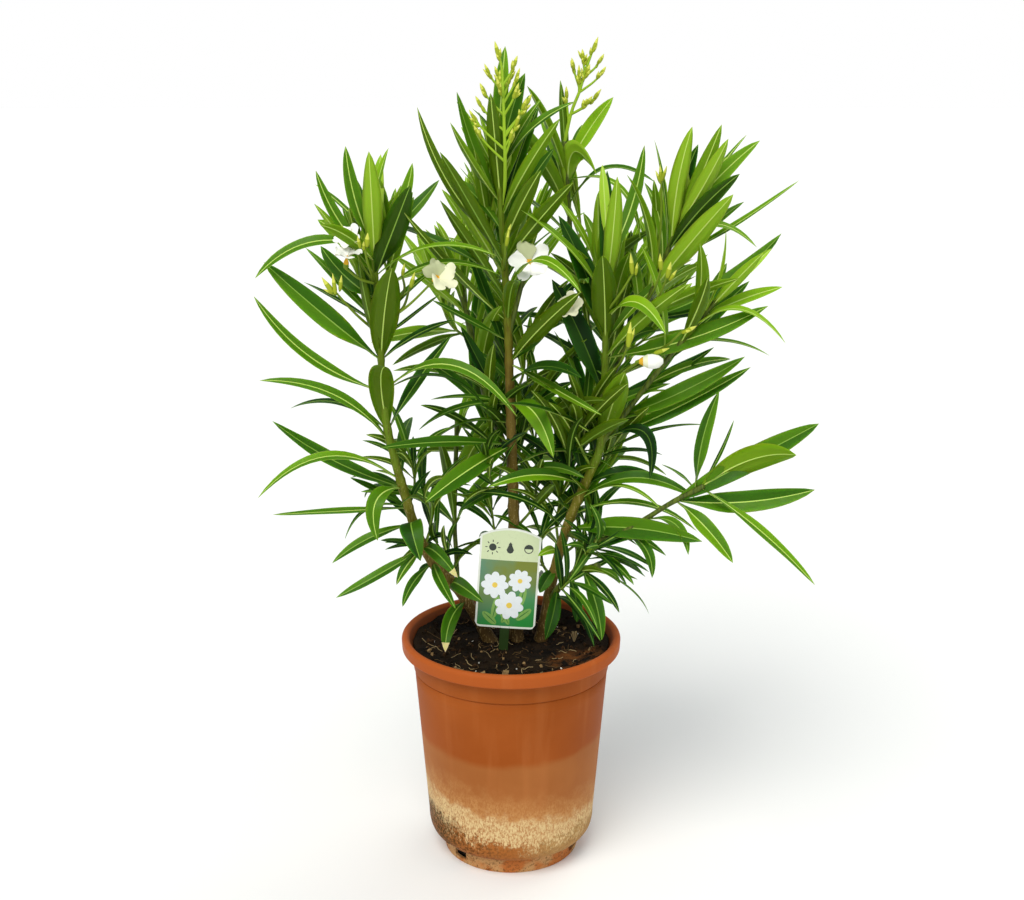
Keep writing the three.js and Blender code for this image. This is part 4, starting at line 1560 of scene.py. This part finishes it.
RIM_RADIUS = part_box("pot")[1].x * METRE
POT_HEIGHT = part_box("pot")[1].z * METRE
SOIL_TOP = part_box("soil")[1].z * METRE
POT_SIDES = 144
FOOT_RADIUS = 75
FOOT_HEIGHT = 18
CORNER_FULLNESS = 0.8  # under 1 makes the bottom corner squarer than a quarter of an ellipse
CORNER_RADIUS = 92.5
CORNER_TOP = 44
STEP_RADIUS = 106
STEP_HEIGHT = 213
LIP_HEIGHT = 16
WALL = 2.6
FLOOR_THICK = 4
DRAIN = {"width": 18, "bottom": 5, "top": 26, "turns": (-48, 66, 192)}  # turned from the front


def rounded(points, radius=1.2, steps=4):
    """A profile with its corners rounded."""
    made = [points[0]]
    for before, corner, after in zip(points, points[1:], points[2:]):
        corner = vec(corner)
        to_before, to_after = vec(before) - corner, vec(after) - corner
        reach = min(radius, 0.45 * np.linalg.norm(to_before), 0.45 * np.linalg.norm(to_after))
        start, end = corner + unit(to_before) * reach, corner + unit(to_after) * reach
        for share in np.linspace(0, 1, steps + 1):
            made.append((1 - share) ** 2 * start + 2 * share * (1 - share) * corner + share**2 * end)
    made.append(points[-1])
    return [tuple(map(float, point)) for point in made]


def turned(profile, sides):
    """Rows of points: a profile of (radius, height) turned round the Z axis."""
    turn = np.linspace(0, 2 * math.pi, sides, endpoint=False)
    return [np.stack([radius * np.cos(turn), radius * np.sin(turn), np.full(sides, height)], 1)
            for radius, height in profile]


def corner_arc(inset, steps):
    """The profile of the rounded bottom corner, from the foot up to the wall, set in by inset."""
    middle = (FOOT_RADIUS + 2, CORNER_TOP)
    across = CORNER_RADIUS - middle[0] - inset
    down = CORNER_TOP - FOOT_HEIGHT - 1 - inset
    angles = np.linspace(0, math.pi / 2, steps + 1)
    return [(middle[0] + across * max(0.0, math.sin(a)) ** CORNER_FULLNESS,
             middle[1] - down * max(0.0, math.cos(a)) ** CORNER_FULLNESS) for a in angles]


def wall_rows(low, high, steps):
    """Points up a straight wall, so that it can be shaded and stained evenly."""
    return [tuple(vec(low) + (vec(high) - vec(low)) * share) for share in np.linspace(0, 1, steps)]


def make_pot():
    """The pot as one closed shell, turned from a profile, with its drainage notches cut out."""
    under_lip = POT_HEIGHT - LIP_HEIGHT
    outside = rounded([
        (0, 0.6),
        (FOOT_RADIUS - 6, 0.6),
        (FOOT_RADIUS - 4, 0),
        (FOOT_RADIUS, 0),
        (FOOT_RADIUS + 1, FOOT_HEIGHT - 0.5),
        (FOOT_RADIUS - 0.6, FOOT_HEIGHT),
        (FOOT_RADIUS - 0.6, FOOT_HEIGHT + 1.2),
        (FOOT_RADIUS + 2, FOOT_HEIGHT + 1.4),
    ], 0.8, 3)
    straight = wall_rows((CORNER_RADIUS, CORNER_TOP), (STEP_RADIUS, STEP_HEIGHT), 14)
    wall = [*corner_arc(0, 12), *straight[1:]]
    lip = rounded([
        (STEP_RADIUS, STEP_HEIGHT),
        (STEP_RADIUS - 0.9, STEP_HEIGHT + 0.5),
        (STEP_RADIUS - 0.9, STEP_HEIGHT + 1.3),
        (STEP_RADIUS + 1, STEP_HEIGHT + 2),
        (STEP_RADIUS + 1.8, under_lip + 0.8),
        (RIM_RADIUS - 3.4, under_lip),
        (RIM_RADIUS - 0.6, under_lip + 1.5),
        (RIM_RADIUS, POT_HEIGHT - 3),
        (RIM_RADIUS - 2.8, POT_HEIGHT),
        (RIM_RADIUS - 6.2, POT_HEIGHT - 0.4),
        (RIM_RADIUS - 9.5, POT_HEIGHT - 4.5),
        (STEP_RADIUS - 0.8, under_lip - 2),
    ], 2.4, 5)
    inside = [(STEP_RADIUS - 3.4, STEP_HEIGHT), (CORNER_RADIUS - WALL, CORNER_TOP),
              *corner_arc(WALL, 6)[::-1][1:], (FOOT_RADIUS - WALL, FOOT_HEIGHT),
              (FOOT_RADIUS - WALL, FLOOR_THICK), (0, FLOOR_THICK)]
    sheet = Sheet()
    sheet.grid(turned([*outside, *wall, *lip[1:], *inside], POT_SIDES), 0, closed=True)
    pot = sheet.piece("pot_shell", [pot_material()], "pot", ["pot"])
    weld(pot)
    cut_drains(pot)


def cut_drains(pot):
    """Cuts the three drainage notches through the bottom corner."""
    cutter = Sheet()
    for turn in DRAIN["turns"]:
        angle = math.radians(turn - 90)
        out = np.array([math.cos(angle), math.sin(angle), 0])
        aside = np.array([-out[1], out[0], 0]) * DRAIN["width"] / 2
        near, far = out * (FOOT_RADIUS - 6), out * (CORNER_RADIUS + 8)
        low, high = vec((0, 0, DRAIN["bottom"])), vec((0, 0, DRAIN["top"]))
        ring = [near - aside + low, near + aside + low, near + aside + high, near - aside + high]
        end = [far - aside + low, far + aside + low, far + aside + high, far - aside + high]
        cutter.grid([ring, end], 0, closed=True)
        cutter.loop(ring, 0)
        cutter.loop(end[::-1], 0)
    tool = cutter.piece("drain_cutter", [], "pot", flat=True)
    weld(tool)
    cut = pot.modifiers.new("drains", "BOOLEAN")
    cut.operation = "DIFFERENCE"
    cut.solver = "EXACT"
    cut.object = tool
    bpy.context.view_layer.update()
    made = pot.evaluated_get(bpy.context.evaluated_depsgraph_get())
    mesh = bpy.data.meshes.new_from_object(made)
    pot.modifiers.clear()
    pot.data = mesh
    bpy.data.objects.remove(tool)


SOIL_RISE = 9  # against the wall
SOIL_RISE_FROM = 76
SOIL_RISE_OVER = 28
LUMP_RISE = 2.2
CRUMB_RISE = 1.5
HEAP_RISE = 3.0
HEAP_AT = (0, 16)
HEAP_HALF = (45, 26)
SOIL_RADIUS = STEP_RADIUS + 1.2
SOIL_RINGS = 54
SOIL_SIDES = 150
CHIPS = 460
FIBRES = 110
BIG_CHIP = (-6, -88)
CHIP_SHARES = (62, 26, 8, 4)  # of dark, middling and pale bark, and perlite
PALE_CHIP = 2
PERLITE = 3
TUFT = (70, 12)  # of dried straws, at the back on the right
TUFT_STRAWS = 9


def soil_height(x, y):
    """The soil's surface: lumpy, heaped a little round the stems and washed up against the wall."""
    far = math.hypot(x, y)
    lumps = LUMP_RISE * noise.noise(Vector((x * 0.05, y * 0.05, 1)))
    crumbs = CRUMB_RISE * noise.noise(Vector((x * 0.22, y * 0.22, 5)))
    off_heap = ((x - HEAP_AT[0]) / HEAP_HALF[0]) ** 2 + ((y - HEAP_AT[1]) / HEAP_HALF[1]) ** 2
    rise = SOIL_RISE * smooth((far - SOIL_RISE_FROM) / SOIL_RISE_OVER)
    return SOIL_TOP + lumps + crumbs + HEAP_RISE * math.exp(-off_heap) + rise


def make_soil():
    """The soil as one closed body that fills the pot to its surface, and the bits on it."""
    turn = np.linspace(0, 2 * math.pi, SOIL_SIDES, endpoint=False)
    rows = []
    for far in SOIL_RADIUS * np.linspace(1, 0.002, SOIL_RINGS):
        ring = [(far * math.cos(a), far * math.sin(a)) for a in turn]
        rows.append([(x, y, soil_height(x, y)) for x, y in ring])
    clear = WALL + 0.6
    body = [(0, 5), (FOOT_RADIUS - clear, 5), (FOOT_RADIUS - clear, FOOT_HEIGHT), *corner_arc(clear, 6),
            (CORNER_RADIUS - clear, CORNER_TOP), (STEP_RADIUS - 4, STEP_HEIGHT - 2),
            (STEP_RADIUS - 2, SOIL_TOP - 2)]
    sheet = Sheet()
    sheet.grid([*turned(body, SOIL_SIDES), *rows], 0, closed=True)
    sheet.piece("soil_surface", [soil_material()], "soil", ["soil"])
    make_soil_bits()


def add_chip(sheet, dice, at, size, slot):
    """A small uneven block, turned at random."""
    turn = Euler([dice.uniform(0, 6.28) for _ in range(3)]).to_matrix()
    corners = [Vector((x * size[0], y * size[1], z * size[2])) * dice.uniform(0.35, 0.6)
               for z in (-1, 1) for x, y in ((-1, -1), (1, -1), (1, 1), (-1, 1))]
    places = [np.array(turn @ corner) + at for corner in corners]
    low, high = places[:4], places[4:]
    sheet.grid([low, high], slot, closed=True)
    sheet.loop(low[::-1], slot)
    sheet.loop(high, slot)


def add_fibre(sheet, dice, at, length, slot):
    """A thin curled root or straw that lies on the soil."""
    angle = dice.uniform(0, 6.28)
    points = []
    for step in range(5):
        points.append((at[0], at[1], soil_height(at[0], at[1]) + dice.uniform(0.3, 1.6)))
        angle += dice.uniform(-0.6, 0.6)
        at = (at[0] + math.cos(angle) * length / 4, at[1] + math.sin(angle) * length / 4)
    tube(sheet, spline(points, 2.5), dice.uniform(0.22, 0.5), 5, slot)


def make_soil_bits():
    """Bark chips, straw, roots and perlite on the soil."""
    dice = random.Random(11)
    chips = Sheet()
    fibres = Sheet()

    def somewhere(reach):
        angle = dice.uniform(0, 6.28)
        far = reach * math.sqrt(dice.random())
        return far * math.cos(angle), far * math.sin(angle)

    for _ in range(CHIPS):
        x, y = somewhere(STEP_RADIUS - 6)
        size = dice.uniform(1.6, 5.2)
        slot = dice.choices(range(4), CHIP_SHARES)[0]
        flatness = dice.uniform(0.3, 0.8)
        if slot == PERLITE:
            size, flatness = dice.uniform(1.2, 2.2), 0.9
        add_chip(chips, dice, vec((x, y, soil_height(x, y) + size * 0.12)),
                 (size, size * flatness, size * 0.45), slot)
    add_chip(chips, dice, vec((*BIG_CHIP, soil_height(*BIG_CHIP) + 1.5)), (7.5, 6, 6), PALE_CHIP)
    for _ in range(FIBRES):
        spot = somewhere(STEP_RADIUS - 16)
        add_fibre(fibres, dice, spot, dice.uniform(6, 20), dice.choices((0, 1), (60, 40))[0])
    for turn in range(TUFT_STRAWS):
        way = vec((math.cos(turn) * 3.5, math.sin(turn * 2.1) * 3.5, 10 + turn % 3 * 2))
        base = vec((*TUFT, soil_height(*TUFT) - 1))
        tube(fibres, spline([base, base + way * 0.6, base + way], 2), 0.4, 5, 1)
    chips.piece("soil_chips", [
        plain_material("bark_chip_dark", (30, 20, 10), 0.85, 0.1),
        plain_material("bark_chip", (60, 40, 22), 0.85, 0.1),
        plain_material("bark_chip_pale", (140, 112, 74), 0.85, 0.1),
        plain_material("perlite", (226, 222, 212), 0.8, 0.3),
    ], "soil", flat=True)
    fibres.piece("soil_fibres", [
        plain_material("root_brown", (86, 66, 40), 0.8, 0.1),
        plain_material("straw", (160, 138, 98), 0.8, 0.1),
    ], "soil")


# The label's plate, its place and its turn are those of the frame's label.
LABEL = {"width": 66, "height": 112, "dome": 9, "corner": 5, "thick": 0.9, "hole": 1.8}
LABEL_ROLL = 4
LABEL_TILT = 4
STAKE = {"width": 10, "length": 62}
LABEL_BASE = (-7, -9, SOIL_TOP + 26)
PICTURE_TOP = 76  # height of the picture above the label's bottom edge
PICTURE_INSET = 2.2
PLATE, HEADER, PICTURE, VEIN, WHITE, YELLOW, SPRIG, INK = range(8)
PICTURE_OUT = 0.04  # how far a panel stands out of the plate, so that it shows


def label_materials():
    """The label's colours, in the order of its slots from PLATE to INK."""
    sky = Nodes("label_picture", (92, 150, 72), 0.32)
    height = sky.axis(2)
    cloud = sky.noise(26, detail=3)
    low = sky.mix(sky.between(cloud, 0.35, 0.65), (36, 140, 56), (70, 128, 84))
    high = sky.mix(sky.between(cloud, 0.35, 0.65), (96, 142, 112), (120, 132, 34))
    sky.colour(sky.mix(sky.between(height, 0.27, 0.325), low, high))
    return [
        plain_material("label_white", (236, 240, 228), 0.32),
        plain_material("label_header", (214, 226, 182), 0.32),
        sky.material,
        plain_material("label_leaf_dark", (40, 110, 48), 0.32),
        plain_material("label_flower", (238, 244, 246), 0.32),
        plain_material("label_flower_eye", (240, 208, 84), 0.32),
        plain_material("label_leaf", (130, 176, 84), 0.32),
        plain_material("label_ink", (52, 60, 52), 0.32),
    ]


def on_label(across, up, out=0.0):
    """A point of the label: across and up from the middle of its bottom edge, and out of it."""
    tilt = math.radians(LABEL_TILT)
    roll = math.radians(LABEL_ROLL)
    bend = 0.0012 * across**2  # the plate is curled a little across its width
    y, z = -(out - bend), up
    y, z = y * math.cos(tilt) + z * math.sin(tilt), z * math.cos(tilt) - y * math.sin(tilt)
    x, z = across * math.cos(roll) + z * math.sin(roll), z * math.cos(roll) - across * math.sin(roll)
    return vec((x, y, z)) + LABEL_BASE


def label_edge(across):
    """The height of the domed top at a place across the label."""
    half = LABEL["width"] / 2
    return LABEL["height"] - LABEL["dome"] + LABEL["dome"] * (1 - (across / half) ** 2)


def label_bottom(across):
    """The height of the bottom edge with its rounded corners."""
    into = LABEL["corner"] - (LABEL["width"] / 2 - abs(across))
    if into <= 0:
        return 0.0
    return LABEL["corner"] - math.sqrt(max(0.0, LABEL["corner"] ** 2 - into**2))


def add_panel(sheet, left, right, bottom, top, out, slot, columns=24, rows=10):
    """A panel that lies on the label between two edges, each a number or a function."""
    made = []
    for share in np.linspace(0, 1, rows + 1):
        row = []
        for across in np.linspace(left, right, columns + 1):
            low = bottom(across) if callable(bottom) else bottom
            high = top(across) if callable(top) else top
            row.append(on_label(across, low + (high - low) * share, out))
        made.append(row)
    sheet.grid(made, slot)


def add_patch(sheet, outline, out, slot):
    sheet.loop([on_label(across, up, out) for across, up in outline], slot)


def oval(across, up, long, wide, angle, points=18, blunt=1.0):
    """The outline of a petal or leaf that starts at a place and points along an angle."""
    way = math.radians(angle)
    made = []
    for step in range(points):
        turn = 2 * math.pi * step / points
        ahead = long * (1 - math.cos(turn)) / 2
        aside = wide / 2 * math.copysign(abs(math.sin(turn)) ** blunt, math.sin(turn))
        made.append((across + ahead * math.cos(way) - aside * math.sin(way),
                     up + ahead * math.sin(way) + aside * math.cos(way)))
    return made


def add_label_sprig(sheet):
    """A made-up sprig: three small round flowers of many petals, with leaves."""
    for across, up, angle, long in ((-4, 6, 62, 30), (4, 4, 118, 30), (-14, 10, 80, 26),
                                    (12, 10, 40, 20), (-10, 4, 140, 20), (14, 24, 78, 24)):
        add_patch(sheet, oval(across, up, long, 8, angle), 0.62, SPRIG)
        add_patch(sheet, oval(across, up + 0.5, long * 0.9, 1, angle), 0.66, VEIN)
    for number, (across, up, size) in enumerate(((-14, 48, 15), (13, 54, 13), (3, 26, 16))):
        for petal in range(8):
            angle = petal * 45 + number * 17
            outline = oval(across, up, size, size * 0.62, angle, blunt=0.8)
            add_patch(sheet, outline, 0.7 + petal * 0.015, WHITE)
        add_patch(sheet, oval(across - size * 0.2, up, size * 0.4, size * 0.4, 0), 0.9, YELLOW)


def add_care_signs(sheet):
    """Plain signs for light, water and half shade in the header."""
    top = 90
    add_patch(sheet, oval(-23, top, 8, 8, 0), 0.6, INK)
    for ray in range(8):
        angle = ray * 45
        start = (-19 + 5.4 * math.cos(math.radians(angle)), top + 5.4 * math.sin(math.radians(angle)))
        add_patch(sheet, oval(*start, 3, 1.1, angle, 8), 0.6, INK)
    drop = [(0, top + 7), (2.2, top + 2.2), (4, top - 2), (2.6, top - 5), (0, top - 6), (-2.6, top - 5),
            (-4, top - 2), (-2.2, top + 2.2)]
    add_patch(sheet, drop[::-1], 0.6, INK)
    disc = oval(15, top, 10, 10, 0, 24)
    add_patch(sheet, disc, 0.6, INK)
    add_patch(sheet, oval(16, top, 8, 8, 0, 24)[12:] + [(16, top)], 0.66, HEADER)


def make_label():
    """The label: a curled plate with a header, a picture and a hole, and its stake."""
    half = LABEL["width"] / 2
    deep = LABEL["thick"] / 2
    sheet = Sheet()
    add_panel(sheet, -half, half, label_bottom, label_edge, deep, PLATE)
    add_panel(sheet, half, -half, label_bottom, label_edge, -deep, PLATE)
    edge = [(a, label_bottom(a)) for a in np.linspace(-half, half, 25)]
    edge += [(a, label_edge(a)) for a in np.linspace(half, -half, 25)]
    rim = [[on_label(a, u, out) for a, u in edge] for out in (-deep, deep)]
    sheet.grid(rim, PLATE, closed=True)
    inset = PICTURE_INSET
    add_panel(sheet, -half + inset, half - inset, PICTURE_TOP,
              lambda a: label_edge(a) - inset, deep + PICTURE_OUT, HEADER)
    add_panel(sheet, -half + inset, half - inset, lambda a: label_bottom(a) + inset,
              PICTURE_TOP, deep + PICTURE_OUT, PICTURE)
    add_label_sprig(sheet)
    add_care_signs(sheet)
    hole = [on_label(LABEL["hole"] * math.cos(t), LABEL["height"] - 2 * LABEL["dome"]
                     + LABEL["hole"] * math.sin(t), deep + 0.1)
            for t in np.linspace(0, 2 * math.pi, 16, endpoint=False)]
    sheet.loop(hole, INK)
    sheet.piece("label_plate", label_materials(), "label", ["label"], flat=True)
    stake = Sheet()
    wide = STAKE["width"] / 2
    ring = [(-wide, -deep), (wide, -deep), (wide, deep), (-wide, deep)]
    rows = [[on_label(a * min(1, 0.3 + (up + STAKE["length"]) / 12), up, out) for a, out in ring]
            for up in np.linspace(-STAKE["length"], 5, 24)]
    stake.grid(rows, 0, closed=True)
    stake.piece("label_stake", [plain_material("stake", (40, 60, 24), 0.4, 0.2)], "label", flat=True)


def make_floor():
    """A wide pale floor, which is no part of the model."""
    turn = np.linspace(0, 2 * math.pi, 64, endpoint=False)
    mesh = bpy.data.meshes.new("floor")
    rim = [(FLOOR_RADIUS / METRE * math.cos(a), FLOOR_RADIUS / METRE * math.sin(a), 0) for a in turn]
    mesh.from_pydata(rim, [], [list(range(len(rim)))])
    floor = bpy.data.objects.new("floor", mesh)
    mesh.materials.append(plain_material("floor", FLOOR_COLOUR, 0.9, 0.1, grain=40, deep=0.0001))
    bpy.context.scene.collection.objects.link(floor)


make_camera()
make_studio()
make_floor()
make_pot()
make_soil()
make_label()
grow_plant()
make_blossom()
